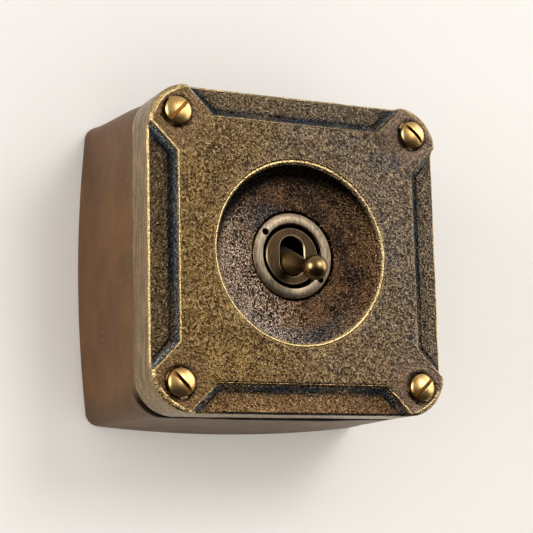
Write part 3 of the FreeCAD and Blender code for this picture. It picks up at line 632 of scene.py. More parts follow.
def make_box(s):
    """The cast box as one closed surface of two parameters: round its outline, and from the
    cable entry over the back, up the outer wall, over the mouth and down the inner wall."""
    shift = (s["shift_x"], -s["shift_down"])
    mouth, normal = rounded_square(s["mouth_half"], s["mouth_corner"], s["mouth_bow"], *shift)
    foot, _ = rounded_square(BOX_BACK_HALF, s["back_corner"], s["back_bow"])
    cavity, _ = rounded_square(CAVITY_HALF, CAVITY_CORNER, 0.0)
    entry = on_circle(ENTRY_RADIUS, np.arctan2(foot[:, 1], foot[:, 0]))
    edge = MOUTH_ROUND + (LOWER_MOUTH_ROUND - MOUTH_ROUND) * smooth((-mouth[:, 1:] - 34.0) / 10.0)
    low, high = OVERALL - FOOT_ROUND, COVER_BACK + edge[:, 0]
    inner_floor = OVERALL - BOX_FLOOR
    sole, rim = foot - normal * FOOT_ROUND, mouth - normal * edge
    loops = [(entry + (sole - entry) * t, OVERALL) for t in np.linspace(0.0, 1.0, BACK_ROWS)]
    for bend in arc_angles(0.0, 90.0, 4)[1:]:
        inset = FOOT_ROUND * (1.0 - math.sin(bend))
        loops.append((foot - normal * inset, OVERALL - FOOT_ROUND * (1.0 - math.cos(bend))))
    loops += [(foot + (mouth - foot) * t, low + (high - low) * t) for t in np.linspace(0.0, 1.0, 34)[1:]]
    for bend in arc_angles(0.0, 90.0, 5)[1:]:
        loops.append((mouth - normal * edge * (1.0 - math.cos(bend)), high - edge[:, 0] * math.sin(bend)))
    last = len(loops)
    loops += [(rim + (cavity - rim) * t, COVER_BACK) for t in (0.35, 0.7, 1.0)]
    loops += [(cavity, COVER_BACK + (inner_floor - COVER_BACK) * t) for t in np.linspace(0.0, 1.0, 7)[1:]]
    loops += [(cavity + (entry - cavity) * t, inner_floor) for t in np.linspace(0.0, 1.0, 5)[1:]]
    across = np.stack([points for points, _ in loops], axis=1)
    depth = np.stack([level + np.zeros(len(foot)) for _, level in loops], axis=1)
    grid = place(across[..., 0], depth, across[..., 1])
    row = np.arange(len(loops))
    outer = ((row >= BACK_ROWS) & (row < last)) * smooth((OVERALL - depth) / 6.0)
    swell = s["waviness"] * (ripple(grid, 34.0, 21) + 0.35 * ripple(grid, 9.0, 22)) - 0.1
    shift = normal[:, None, :] * (swell * outer)[..., None] * MM
    grid[..., 0] += shift[..., 0]
    grid[..., 2] += shift[..., 1]
    return surface("box_casting", grid, sharp=44.0)


HEAD_SIDE = 1.5
HEAD_DOME = 1.4
HEAD_ROUND = 0.25
SHANK = 2.0
SLOT_BAR = 8.0


def screw_profile(radius):
    """A turned screw: domed head with a small round at its edge, then a plain shank."""
    shoulder = SCREW_SEAT - HEAD_SIDE
    ball = (radius**2 + HEAD_DOME**2) / (2.0 * HEAD_DOME)
    rise = np.linspace(0.0, radius - HEAD_ROUND, 12)
    head = np.stack([rise, shoulder - HEAD_DOME + ball - np.sqrt(ball**2 - rise**2)], -1)
    bend = arc_angles(60.0, 0.0, 5)
    edge_radius = radius - HEAD_ROUND + HEAD_ROUND * np.cos(bend)
    edge = np.stack([edge_radius, shoulder + 0.22 - HEAD_ROUND * np.sin(bend)], -1)
    rest = [[radius, SCREW_SEAT], [SHANK, SCREW_SEAT], [SHANK, SHANK_END - 1.0]]
    return np.concatenate([head, edge, rest, [[SHANK / 2, SHANK_END], [0.0, SHANK_END]]])


def make_screw(s, side_x, side_z, angle, slot_finish):
    """One cover screw, and the bar that cuts its slot."""
    x, z = side_x * SCREW_PLACE, side_z * SCREW_PLACE
    screw = lathed("cover_screw", screw_profile(s["screw_radius"]), x, z, steps=72)
    half = s["screw_slot"] / 2
    loop = np.array([[-SLOT_BAR, -half], [SLOT_BAR, -half], [SLOT_BAR, half], [-SLOT_BAR, half]])
    loop = turned_about(loop, -math.radians(angle)) + np.array([x, z])
    top = SCREW_SEAT - HEAD_SIDE - HEAD_DOME
    slot = prism("slot_tool", loop, top - 2.0, top + s["screw_slot_depth"])
    slot.data.materials.append(slot_finish)
    return screw, slot


RING_CROWN = 0.3
CROWN_INWARDS = 0.35
RING_EDGE = 0.35
RING_LIP = 0.25
RING_THREAD, RING_THREAD_START = 9.4, 7.58
RING_BORE_END = 7.15
HOLE_CIRCLE = 11.35
HOLE_ANGLES = (143.0, 323.0)
HOLE_END = 7.9


def make_ring(s):
    """The crowned bezel ring, and the bars that cut its two spanner holes. Its crown falls off
    with the square of the distance from a circle a little nearer to its bore."""
    outer, inner = s["ring_outer"], s["ring_inner"]
    bend = arc_angles(90.0, 0.0, 5)
    across = np.linspace(inner + RING_LIP, outer - RING_EDGE, 12)
    t = (across - across[0]) / (across[-1] - across[0]) * 2.0 - 1.0
    fall = RING_CROWN * ((t + CROWN_INWARDS) / (1.0 + CROWN_INWARDS)) ** 2
    crown = np.stack([across, RING_FRONT + fall], -1)
    shoulder = RING_FRONT + RING_CROWN
    turned = on_circle(1.0, bend)
    rim = np.array([outer - RING_EDGE, shoulder + RING_EDGE]) + RING_EDGE * turned * [1.0, -1.0]
    lip = np.array([inner + RING_LIP, shoulder + RING_LIP]) - RING_LIP * turned
    back = [[outer, RING_SEAT], [RING_THREAD, RING_SEAT]]
    bore = [[RING_THREAD, RING_THREAD_START], [inner, RING_BORE_END]]
    profile = np.concatenate([crown, rim[1:], back, bore, lip[::-1][:-1]])
    ring = lathed("bezel_ring_turned", profile, steps=180, closed=True)
    centres = [on_circle(HOLE_CIRCLE, math.radians(angle)) for angle in HOLE_ANGLES]
    return ring, [prism("hole_tool", circle(s["ring_hole"], *at, 40), 4.0, HOLE_END) for at in centres]


DOLLY_TILT = 13.5
DOLLY_REACH = 28.45
DOLLY_WAIST = 0.3
TAIL_RADIUS = 3.2
TAIL_LENGTH = 8.0
TAIL_BORE = 2.0
TAIL_BORE_START = 2.4
PIN_HOLE = PIN_RADIUS + 0.05
SLOT_STRAIGHT = 2.05


def dolly_profile(s):
    """The dolly from its ball to its hollow tail, as (radius, distance behind the pivot)."""
    ball_reach = DOLLY_REACH - s["ball"]
    neck_reach = ball_reach - math.sqrt(s["ball"] ** 2 - s["neck"] ** 2)
    slot_reach = DOLLY_PIVOT - BUSH_FACE
    taper = (s["root"] - s["neck"]) / (neck_reach - slot_reach)
    cone = s["root"] + taper * slot_reach
    spread = 1.0 + taper**2
    join = (cone * taper + math.sqrt(s["boss"] ** 2 * spread - cone**2)) / spread
    neck_angle = math.degrees(math.asin(s["neck"] / s["ball"]))
    turn = arc_angles(0.0, 180.0 - neck_angle - 3.0, 40)
    ball = np.stack([s["ball"] * np.sin(turn), -ball_reach - s["ball"] * np.cos(turn)], -1)
    shank_back = np.linspace(-neck_reach + 0.35, -join - 0.2, 16)
    shank = np.stack([cone + taper * shank_back, shank_back], -1)
    waist = np.clip((shank_back + neck_reach) / (neck_reach - slot_reach), 0.0, 1.0)
    shank[:, 0] -= DOLLY_WAIST * np.sin(math.pi * waist) ** 2
    start = math.asin(min(1.0, (cone - taper * join) / s["boss"]))
    end = math.pi - math.asin(TAIL_RADIUS / s["boss"])
    sweep = np.linspace(start, end, 18)
    boss = np.stack([s["boss"] * np.sin(sweep), -s["boss"] * np.cos(sweep)], -1)
    tail = [[TAIL_RADIUS, TAIL_LENGTH - 0.2], [TAIL_RADIUS - 0.2, TAIL_LENGTH]]
    bore = [[TAIL_BORE, TAIL_LENGTH], [TAIL_BORE, TAIL_BORE_START], [0.0, TAIL_BORE_START]]
    return np.concatenate([ball, shank, boss, tail, bore])


def turn_mesh(thing, angle, axis):
    """Turns an object's mesh about the dolly's pivot, by an angle in radians round an axis."""
    pivot = Matrix.Translation((0.0, FACE_Y + DOLLY_PIVOT * MM, 0.0))
    thing.data.transform(pivot @ Matrix.Rotation(angle, 4, axis) @ pivot.inverted())


def make_dolly(s):
    """The turned dolly, with the hole of its pin, tipped down to its place at rest."""
    profile = dolly_profile(s)
    profile[:, 1] += DOLLY_PIVOT
    dolly = lathed("dolly_turned", profile, steps=96)
    bar = prism("pin_tool", circle(PIN_HOLE, steps=32), DOLLY_PIVOT - 9.0, DOLLY_PIVOT + 9.0)
    turn_mesh(bar, QUARTER_TURN, "Z")
    cut(dolly, [bar])
    turn_mesh(dolly, math.radians(DOLLY_TILT), "X")
    return dolly


NODE_KINDS = {
    "Add": ("Math", {"operation": "ADD"}),
    "Subtract": ("Math", {"operation": "SUBTRACT"}),
    "Multiply": ("Math", {"operation": "MULTIPLY"}),
    "MultiplyAdd": ("Math", {"operation": "MULTIPLY_ADD"}),
    "Larger": ("Math", {"operation": "MAXIMUM"}),
    "Unsigned": ("Math", {"operation": "ABSOLUTE"}),
    "Length": ("VectorMath", {"operation": "LENGTH"}),
    "Distance": ("VectorMath", {"operation": "DISTANCE"}),
    "Folded": ("VectorMath", {"operation": "ABSOLUTE"}),
    "Towards": ("VectorMath", {"operation": "DOT_PRODUCT"}),
    "Ramp": ("MapRange", {"interpolation_type": "SMOOTHSTEP"}),
    "Blend": ("Mix", {"data_type": "RGBA"}),
}


def add(tree, kind, *inputs, settings=None, **named):
    """Adds a shader node. Its kind is Blender's own, or one of NODE_KINDS with its settings. The
    inputs that show are filled in their order, and others by name: with a value, with a link to
    an output, or with a link to the first output of another node."""
    kind, settings = NODE_KINDS.get(kind, (kind, settings or {}))
    node = tree.nodes.new("ShaderNode" + kind)
    for name, value in settings.items():
        setattr(node, name, value)
    shown = [socket for socket in node.inputs if socket.enabled]
    chosen = [node.inputs[name.replace("_", " ")] for name in named]
    for socket, value in [*zip(shown, inputs), *zip(chosen, named.values())]:
        if isinstance(value, bpy.types.Node):
            value = next(output for output in value.outputs if output.enabled)
        if isinstance(value, bpy.types.NodeSocket):
            tree.links.new(value, socket)
        elif socket.type == "RGBA":
            socket.default_value = (*(linear(value) if isinstance(value, str) else value), 1.0)
        else:
            socket.default_value = value
    return node


def laid(tree, base, tone, share, strength=1.0):
    """A base with a tone laid over it, by a share from 0 to 1 times a strength."""
    return add(tree, "Blend", add(tree, "Multiply", share, strength), base, tone)


def less(tree, share, held, strength):
    """A share held back by another one: share times (1 - strength times held)."""
    return add(tree, "Multiply", share, add(tree, "MultiplyAdd", held, -strength, 1.0))


def pitch(grain):
    """The scale of a pattern whose features are as wide as a grain in millimetres."""
    return 1.0 / (grain * MM)


def coordinates(tree, stretch=(1.0, 1.0, 1.0)):
    """Object coordinates, stretched."""
    return add(tree, "Mapping", add(tree, "TexCoord").outputs["Object"], Scale=stretch)


def new_material(name):
    """An empty node material and its tree."""
    material = bpy.data.materials.new(name)
    material.use_nodes = True
    material.node_tree.nodes.clear()
    return material, material.node_tree


def finished(material, base, rough, height=None, depth=0.0, metallic=1.0, **others):
    """Closes a material with its shader. The relief's height runs over a depth in millimetres."""
    tree = material.node_tree
    if height is not None:
        others["Normal"] = add(tree, "Bump", 1.0, depth * MM, Height=height)
    shader = add(tree, "BsdfPrincipled", Base_Color=base, Metallic=metallic, Roughness=rough, **others)
    add(tree, "OutputMaterial", shader)
    return material


LOWER_EDGE = 39.4
COVER_MASKS = ("worn", "cove", "step", "dish", "boss", "flank", "floor")


def casting_layout(tree):
    """What the casting's finish follows: its place in metres, its sand grain and patches, the
    masks of its points, the painted light on the left of the dish and the painted shadow under
    its upper rim."""
    here = coordinates(tree)
    x, y, z = add(tree, "SeparateXYZ", here).outputs
    at = SimpleNamespace(here=here, x=x, y=y, z=z, across=add(tree, "CombineXYZ", x, 0.0, z))
    at.radius = add(tree, "Length", at.across)
    at.grain = add(tree, "TexNoise", here, pitch(0.68), 3.0, 0.5)
    at.fine = add(tree, "TexNoise", here, pitch(0.35), 3.0, 0.6)
    at.patches = add(tree, "TexNoise", here, pitch(9.0), 4.0, 0.6)
    for name in COVER_MASKS:
        setattr(at, name, add(tree, "Attribute", settings={"attribute_name": name}).outputs["Fac"])
    # Painted light: this mask makes the grain's sparks paler and more frequent on the dish's lower left, the
    # side that faces the lamps.
    lower_left = add(tree, "MultiplyAdd", z, 0.45, x)
    at.leftward = add(tree, "Multiply", at.dish, add(tree, "Ramp", lower_left, 1.0 * MM, -21.0 * MM))
    # Painted shadow: a black crescent under the dish's upper wall, where the rim shades it.
    below = add(tree, "Distance", at.across, (1.5 * MM, 0.0, -5.5 * MM))
    at.sooty = add(tree, "Ramp", add(tree, "MultiplyAdd", at.patches, 2.0 * MM, below), 26.5 * MM, 31.0 * MM)
    return at


def field_tone(tree, at, finish):
    """The raised field and the recesses: golden and olive patches, grey and bluish to the upper
    right, browner round the screws, paler on the recess floors and reddest on the lowest."""
    broad = add(tree, "TexNoise", at.here, pitch(30.0), 2.0, 0.55)
    upward = add(tree, "MultiplyAdd", at.z, 0.4, at.x)
    rightward = add(tree, "Ramp", add(tree, "MultiplyAdd", broad, 60.0 * MM, upward), -15.0 * MM, 80.0 * MM)
    patchy = add(tree, "Ramp", at.patches, 0.2, 0.7)
    tone = add(tree, "Blend", patchy, finish.field_olive, finish.field_gold)
    tone = laid(tree, tone, finish.field_grey, rightward)
    bluish = add(tree, "Multiply", rightward, add(tree, "Ramp", at.patches, 0.52, 0.68))
    tone = laid(tree, tone, "#4c535b", bluish, 0.55)
    tone = laid(tree, tone, "#4a382e", at.boss, 0.6)
    lowest = add(tree, "Ramp", at.z, -37.0 * MM, -41.0 * MM)
    return laid(tree, tone, add(tree, "Blend", lowest, "#665a49", "#a57c57"), at.floor, 0.6)


def dish_tone(tree, at, finish):
    """The dish: purplish brown, steel blue in a band below and in a spot above to the left,
    with a painted highlight on its right wall and a painted black shadow under its upper wall."""
    mottle = add(tree, "Ramp", add(tree, "TexNoise", at.here, pitch(5.0), 3.0, 0.55), 0.4, 0.62)
    tone = add(tree, "Blend", mottle, finish.dish_brown, "#836448")
    low = add(tree, "Ramp", add(tree, "MultiplyAdd", at.patches, 8.0 * MM, at.z), -4.0 * MM, -15.0 * MM)
    band = add(tree, "Multiply", add(tree, "Ramp", at.radius, 20.5 * MM, 24.5 * MM), low)
    beside = add(tree, "Distance", at.across, (-9.0 * MM, 0.0, 10.0 * MM))
    spot = add(tree, "Ramp", add(tree, "MultiplyAdd", at.patches, 6.0 * MM, beside), 12.0 * MM, 5.0 * MM)
    tone = laid(tree, tone, "#3c4650", add(tree, "Larger", band, spot), 0.9)
    # Painted highlight: the right wall near the rim is made paler, as if lit.
    wall = add(tree, "Ramp", at.radius, 22.0 * MM, 26.0 * MM)
    lit = add(tree, "Multiply", wall, add(tree, "Ramp", at.x, 4.0 * MM, 19.0 * MM))
    tone = laid(tree, tone, "#9c7a56", lit, 0.65)
    # Painted shadow under the dish's upper wall.
    return laid(tree, tone, "#050404", at.sooty)


def grain_tone(tree, at, finish, base):
    """The sand grain: dark patina in its hollows, and on its tops bright brass with painted glints,
    palest and most frequent where the left of the dish is painted lit; few round the screws and in
    the painted shadow under the dish's upper wall."""
    hollow = add(tree, "Ramp", at.grain, 0.52, 0.36)
    deep = add(tree, "Multiply", hollow, add(tree, "MultiplyAdd", at.boss, -0.5, 0.8))
    base = laid(tree, base, finish.pits, deep)
    # Painted glints: a pale colour on the grain's tops, paler still where the dish is painted lit.
    glint = add(tree, "Blend", at.dish, finish.glint, "#b8977a")
    glint = laid(tree, glint, "#ecd6c2", at.leftward)
    height = add(tree, "MultiplyAdd", at.fine, 0.5, at.grain)
    tops = add(tree, "Ramp", add(tree, "MultiplyAdd", at.leftward, 0.1, height), 0.76, 0.98)
    share = add(tree, "MultiplyAdd", at.leftward, 0.35, 0.65)
    share = less(tree, share, at.boss, 0.8)
    share = less(tree, share, add(tree, "Multiply", at.dish, at.sooty), 1.0)
    return laid(tree, base, glint, add(tree, "Multiply", tops, share))


def stained_tone(tree, at, finish, base):
    """The stains and painted shade: a dark ring round the screw heads that is grime and painted
    shade, blue-black patina at the foot of the steps, rust brown above the middle, and grey on the
    steps that is partly patina and partly a painted reflection, most of all on the left step."""
    # Grime and painted shade: a dark ring round each screw head, in the corner where it meets the cover.
    screw = (SCREW_PLACE * MM, 0.0, SCREW_PLACE * MM)
    to_screw = add(tree, "Distance", add(tree, "Folded", at.across), screw)
    dirt_and_shade = add(tree, "MultiplyAdd", at.patches, 2.0 * MM, to_screw)
    base = laid(tree, base, "#1c1008", add(tree, "Ramp", dirt_and_shade, 7.0 * MM, 5.6 * MM), 0.75)
    blue = add(tree, "Blend", add(tree, "Ramp", at.fine, 0.35, 0.65), "#0e1216", finish.cove_blue)
    stretch = add(tree, "Ramp", add(tree, "TexNoise", at.here, pitch(16.0), 2.0, 0.55), 0.36, 0.56)
    cove_share = add(tree, "MultiplyAdd", stretch, 0.5, 0.42)
    base = laid(tree, base, blue, add(tree, "Multiply", at.cove, cove_share))
    rust = add(tree, "Ramp", add(tree, "TexNoise", at.here, pitch(7.0), 3.0, 0.6), 0.58, 0.7)
    rust = add(tree, "Multiply", rust, add(tree, "Ramp", at.z, -20.0 * MM, 10.0 * MM))
    sunk = add(tree, "Larger", at.cove, at.floor)
    base = laid(tree, base, "#4d2a1b", add(tree, "Multiply", sunk, rust), 0.5)
    # Painted reflection over a grey patina on the steps, strongest on the left step, which faces a lamp.
    step_reflection = add(tree, "Blend", add(tree, "Ramp", at.fine, 0.4, 0.62), "#232a31", "#a2a8ae")
    lit_left_step = add(tree, "Ramp", at.x, -22.0 * MM, -38.0 * MM)
    step_reflection_share = add(tree, "MultiplyAdd", lit_left_step, 0.65, 0.18)
    return laid(tree, base, step_reflection, add(tree, "Multiply", at.step, step_reflection_share))


def rubbed_edges(tree, at):
    """Where raised edges are rubbed to bare brass: unevenly, less to the upper right, and hardly
    along the lower long edge, which is kept dark there as painted shade."""
    uneven = add(tree, "Ramp", add(tree, "MultiplyAdd", at.patches, 0.5, at.fine), 0.5, 0.85)
    rubbed = add(tree, "Multiply", at.worn, add(tree, "MultiplyAdd", uneven, 0.35, 0.65))
    upper_right = add(tree, "Ramp", add(tree, "Add", at.x, at.z), 8.0 * MM, 75.0 * MM)
    rubbed = less(tree, rubbed, upper_right, 0.75)
    # Painted shade: the lower long edge of the field keeps its dark colour, as it lies in shadow.
    from_ledge = add(tree, "Unsigned", add(tree, "Add", at.z, LOWER_EDGE * MM))
    shaded_ledge = add(tree, "Ramp", from_ledge, 1.7 * MM, 1.0 * MM)
    return less(tree, rubbed, shaded_ledge, 0.85)


def shaded_underside(tree, at, base):
    """The narrow shade under the cover's lower edge, right of its left corner."""
    low = add(tree, "Ramp", at.z, -47.1 * MM, -47.6 * MM)
    beyond_corner = add(tree, "Ramp", at.x, -38.0 * MM, -22.0 * MM)
    near_face = add(tree, "Ramp", at.y, FACE_Y + 4.0 * MM, FACE_Y + 3.2 * MM)
    under = add(tree, "Multiply", add(tree, "Multiply", low, beyond_corner), near_face)
    return laid(tree, base, "#120b07", under, 0.95)


def cast_brass(finish):
    """Sand-cast brass with an aged patina. The sand leaves a grain of about 0.8 mm whose tops catch
    the light as sparks, helped by painted glints, the hollows stay dark, and the raised edges are
    rubbed to bare brass."""
    material, tree = new_material("sand_cast_patinated_brass")
    at = casting_layout(tree)
    base = laid(tree, field_tone(tree, at, finish), dish_tone(tree, at, finish), at.dish)
    # Painted shade: black on the counterbore round the ring, in the dark space between ring and dish.
    base = laid(tree, base, "#080605", add(tree, "Ramp", at.radius, 14.15 * MM, 13.75 * MM))
    base = grain_tone(tree, at, finish, base)
    base = stained_tone(tree, at, finish, base)
    streak = add(tree, "TexNoise", coordinates(tree, (1.0, 1.0, 0.08)), pitch(0.7), 3.0, 0.55)
    side_tone = add(tree, "Blend", add(tree, "Ramp", streak, 0.35, 0.68), "#6f5c40", "#ad9268")
    base = laid(tree, base, side_tone, at.flank, 0.9)
    rubbed = rubbed_edges(tree, at)
    base = laid(tree, base, finish.worn, rubbed)
    base = shaded_underside(tree, at, base)
    rough = add(tree, "MultiplyAdd", at.grain, -0.5, 0.53)
    rough = add(tree, "MultiplyAdd", rubbed, -0.1, rough)
    lumpy = add(tree, "MultiplyAdd", at.floor, 1.3, 0.35)
    lumps = add(tree, "Multiply", add(tree, "TexNoise", at.here, pitch(2.6), 2.0, 0.55), lumpy)
    height = add(tree, "Add", add(tree, "MultiplyAdd", at.fine, 0.3, at.grain), lumps)
    smoother = add(tree, "Larger", add(tree, "Larger", at.boss, at.flank), at.worn)
    return finished(material, base, rough, less(tree, height, smoother, 0.7), 1.4)


def satin_bronze(finish):
    """Cast bronze with a rubbed brown patina: satin, with faint marks and thin bright scratches,
    olive near the cover, and with painted shade: darker above, darker and greyer underneath, and
    black in the seam under the cover's lower edge."""
    material, tree = new_material("satin_brown_bronze")
    here = coordinates(tree)
    _, y, z = add(tree, "SeparateXYZ", here).outputs
    cloud = add(tree, "TexNoise", here, pitch(16.0), 4.0, 0.55)
    stain = add(tree, "TexNoise", coordinates(tree, (1.0, 1.0, 0.35)), pitch(5.0), 4.0, 0.6)
    base = add(tree, "Blend", add(tree, "Ramp", cloud, 0.35, 0.68), finish.box_bronze, "#6b4a2c")
    forward = add(tree, "MultiplyAdd", cloud, 20.0 * MM, y)
    base = laid(tree, base, finish.box_olive, add(tree, "Ramp", forward, -20.0 * MM, -42.0 * MM), 0.8)
    base = laid(tree, base, "#9a7a58", add(tree, "Ramp", stain, 0.55, 0.75), 0.3)
    speck = add(tree, "TexNoise", here, pitch(0.8), 2.0, 0.55)
    base = laid(tree, base, "#3a2a1e", add(tree, "Ramp", speck, 0.62, 0.75), 0.4)
    line = add(tree, "TexNoise", coordinates(tree, (1.0, 0.12, 1.0)), pitch(0.6), 1.0, 0.4)
    scratched = add(tree, "Ramp", cloud, 0.5, 0.62)
    scratch = add(tree, "Multiply", add(tree, "Ramp", line, 0.68, 0.74), scratched)
    base = laid(tree, base, "#a08457", scratch, 0.6)
    # Painted shade: the underside is darker and greyer.
    lower = add(tree, "Ramp", z, -38.0 * MM, -44.0 * MM)
    base = laid(tree, base, "#5c4c38", lower, 0.45)
    # Painted shadow: black, dull and matt in the seam under the cover's lower edge.
    behind_cover = add(tree, "MultiplyAdd", stain, 1.2 * MM, y)
    gap_shadow = add(tree, "Ramp", behind_cover, FACE_Y + 20.2 * MM, FACE_Y + 18.2 * MM)
    gap_shadow = add(tree, "Multiply", gap_shadow, lower)
    base = laid(tree, base, "#150d08", gap_shadow)
    # Painted shade: the upper part of the box is darker.
    base = laid(tree, base, "#4f3520", add(tree, "Ramp", z, 10.0 * MM, 48.0 * MM), 0.4)
    rough = add(tree, "MultiplyAdd", gap_shadow, 0.4, add(tree, "MultiplyAdd", stain, 0.25, 0.36))
    fine = add(tree, "TexNoise", here, pitch(2.2), 3.0, 0.55)
    height = add(tree, "MultiplyAdd", speck, 0.3, fine)
    metallic = add(tree, "MultiplyAdd", gap_shadow, -0.9, 0.9)
    shine = add(tree, "MultiplyAdd", gap_shadow, -0.45, 0.5)
    return finished(material, base, rough, height, 0.07, metallic, Specular_IOR_Level=shine)


def polished_brass(finish):
    """Polished screw brass, slightly dulled, with fine marks and brown tarnish."""
    material, tree = new_material("polished_screw_brass")
    here = coordinates(tree)
    tarnish = add(tree, "TexNoise", here, pitch(2.2), 3.0, 0.55)
    base = add(tree, "Blend", add(tree, "Ramp", tarnish, 0.45, 0.72), finish.screw_brass, "#b98f55")
    rough = add(tree, "MultiplyAdd", tarnish, 0.2, 0.24)
    return finished(material, base, rough, add(tree, "TexNoise", here, pitch(0.5), 3.0, 0.55), 0.03)


def shaded_slot_brown():
    """The floor of a screw's slot: dull orange-brown brass, darkened as painted shade, too narrow
    to show any relief.
    """
    material, tree = new_material("shaded_slot_brass")
    mottle = add(tree, "TexNoise", coordinates(tree), pitch(0.8), 2.0, 0.55)
    # Painted shade: dark brown tones for the shaded floor of the slot.
    base = add(tree, "Blend", mottle, "#6b4820", "#3d2610")
    return finished(material, base, 0.42)


def brushed_nickel(finish):
    """Antique nickel over brass, brushed: dull grey brown with fine diagonal marks, and the
    plating rubbed through to brass at the outer rim. Deep in the spanner holes and bore it is
    painted black as shade."""
    material, tree = new_material("brushed_antique_nickel")
    here = coordinates(tree)
    x, y, z = add(tree, "SeparateXYZ", here).outputs
    radius = add(tree, "Length", add(tree, "CombineXYZ", x, 0.0, z))
    lean = add(tree, "Mapping", here, Rotation=(0.0, math.radians(38.0), 0.0), Scale=(1.0, 1.0, 0.07))
    marks = add(tree, "TexNoise", lean, pitch(0.22), 3.0, 0.6)
    cloud = add(tree, "TexNoise", here, pitch(3.0), 3.0, 0.55)
    base = add(tree, "Blend", add(tree, "Ramp", marks, 0.3, 0.7), "#463c30", finish.nickel)
    base = laid(tree, base, "#86755a", add(tree, "Ramp", cloud, 0.45, 0.7), 0.5)
    rim = add(tree, "Ramp", radius, 12.85 * MM, 13.05 * MM)
    base = laid(tree, base, "#b39558", add(tree, "Multiply", rim, add(tree, "Ramp", cloud, 0.25, 0.5)))
    # Painted shade: black deep in the spanner holes and bore.
    base = laid(tree, base, "#0d0a07", add(tree, "Ramp", y, FACE_Y + 6.7 * MM, FACE_Y + 7.4 * MM))
    return finished(material, base, add(tree, "MultiplyAdd", marks, 0.26, 0.2), marks, 0.055)


def dark_bush(finish):
    """The bush's face: the same plating gone dark, brushed upright, bright on its two chamfers."""
    material, tree = new_material("dark_brushed_nickel")
    x, y, z = add(tree, "SeparateXYZ", coordinates(tree)).outputs
    radius = add(tree, "Length", add(tree, "CombineXYZ", x, 0.0, z))
    marks = add(tree, "TexNoise", coordinates(tree, (1.0, 1.0, 0.06)), pitch(0.25), 3.0, 0.55)
    base = add(tree, "Blend", add(tree, "Ramp", marks, 0.3, 0.7), "#1b140d", finish.bush_dark)
    beyond = add(tree, "Subtract", add(tree, "Unsigned", z), SLOT_STRAIGHT * MM)
    from_slot = add(tree, "Length", add(tree, "CombineXYZ", x, 0.0, add(tree, "Larger", beyond, 0.0)))
    slot_rim = add(tree, "Ramp", from_slot, 4.5 * MM, 4.3 * MM)
    rims = add(tree, "Larger", slot_rim, add(tree, "Ramp", radius, 8.3 * MM, 8.45 * MM))
    chamfer = FACE_Y + BUSH_FACE * MM
    near_face = add(tree, "Ramp", y, chamfer + 0.55 * MM, chamfer + 0.35 * MM)
    base = laid(tree, base, "#8d8068", add(tree, "Multiply", rims, near_face))
    return finished(material, base, add(tree, "MultiplyAdd", marks, 0.25, 0.2), marks, 0.015)


def dolly_brass(finish):
    """Antique brass of the dolly: smooth and glossy from use, paler on its shank as painted light,
    and pale inside the bush, partly its plating and partly a painted highlight."""
    material, tree = new_material("handled_antique_brass")
    here = coordinates(tree)
    y = add(tree, "SeparateXYZ", here).outputs["Y"]
    cloud = add(tree, "TexNoise", here, pitch(2.5), 3.0, 0.55)
    front = add(tree, "Ramp", y, -53.5 * MM, -62.0 * MM)
    base = add(tree, "Blend", add(tree, "Ramp", cloud, 0.4, 0.7), finish.dolly, "#6b5638")
    base = laid(tree, base, "#8e7650", front, 0.35)
    # Painted light: the shank is paler, standing in for the highlight it would show.
    shank = add(tree, "Subtract", 1.0, front)
    base = laid(tree, base, "#b8996a", shank)
    # Pale nickel colour deep inside the bush: partly its plating, partly a painted highlight where glints
    # would show.
    base = laid(tree, base, "#cfc8bc", add(tree, "Ramp", y, FACE_Y + 8.0 * MM, FACE_Y + 9.5 * MM))
    rough = add(tree, "MultiplyAdd", shank, 0.14, add(tree, "MultiplyAdd", cloud, 0.2, 0.17))
    return finished(material, base, rough, add(tree, "TexNoise", here, pitch(0.7), 2.0, 0.55), 0.015)


def plain_metal(name, first, second, grain, rough, brush=(1.0, 1.0, 1.0)):
    """An inner metal piece: two close tones in a fine grain, which its brushing draws out."""
    material, tree = new_material(name)
    marks = add(tree, "TexNoise", coordinates(tree, brush), pitch(grain), 3.0, 0.55)
    base = add(tree, "Blend", add(tree, "Ramp", marks, 0.3, 0.7), first, second)
    return finished(material, base, add(tree, "MultiplyAdd", marks, 0.2, rough), marks, 0.015)


def moulded_phenolic():
    """Black-brown phenolic moulding: hard, with a slight gloss and a faint flow of lighter dust."""
    material, tree = new_material("moulded_phenolic")
    here = coordinates(tree)
    flow = add(tree, "TexNoise", here, pitch(2.0), 4.0, 0.6, Distortion=0.8)
    base = add(tree, "Blend", add(tree, "Ramp", flow, 0.4, 0.75), "#15110e", "#2b211a")
    rough = add(tree, "MultiplyAdd", flow, 0.2, 0.28)
    skin = add(tree, "TexNoise", here, pitch(0.4), 2.0, 0.55)
    return finished(material, base, rough, skin, 0.02, metallic=0.0, IOR=1.6)


def painted(name, hex_colour, dark_in_metal=False):
    """A matt stage surface that shows only from its front, so that a view from behind sees the
    switch. The floor looks dark in polished metal, as a room's floor does."""
    material, tree = new_material(name)
    base = hex_colour
    if dark_in_metal:
        mirrored = add(tree, "LightPath").outputs["Is Glossy Ray"]
        base = add(tree, "Blend", mirrored, hex_colour, "#1c1a18")
    shader = add(tree, "BsdfPrincipled", Base_Color=base, Roughness=0.9, Specular_IOR_Level=0.1)
    side = add(tree, "NewGeometry").outputs["Backfacing"]
    pick = add(tree, "MixShader", side, shader, add(tree, "BsdfTransparent"))
    add(tree, "OutputMaterial", pick)
    return material


def dress(thing, material, body, slot, *nodes):
    """Gives a new piece its finish and its body, and hides the nodes that it stands for. The slot
    is not used.
    """
    if not thing.data.materials:
        thing.data.materials.append(material)
    else:
        thing.data.materials[0] = material
    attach(thing, body)
    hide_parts(*nodes)


def coat(node, material):
    """Gives a piece of the frame its finish."""
    thing = frame["nodes"][node]
    thing.data.materials.clear()
    thing.data.materials.append(material)


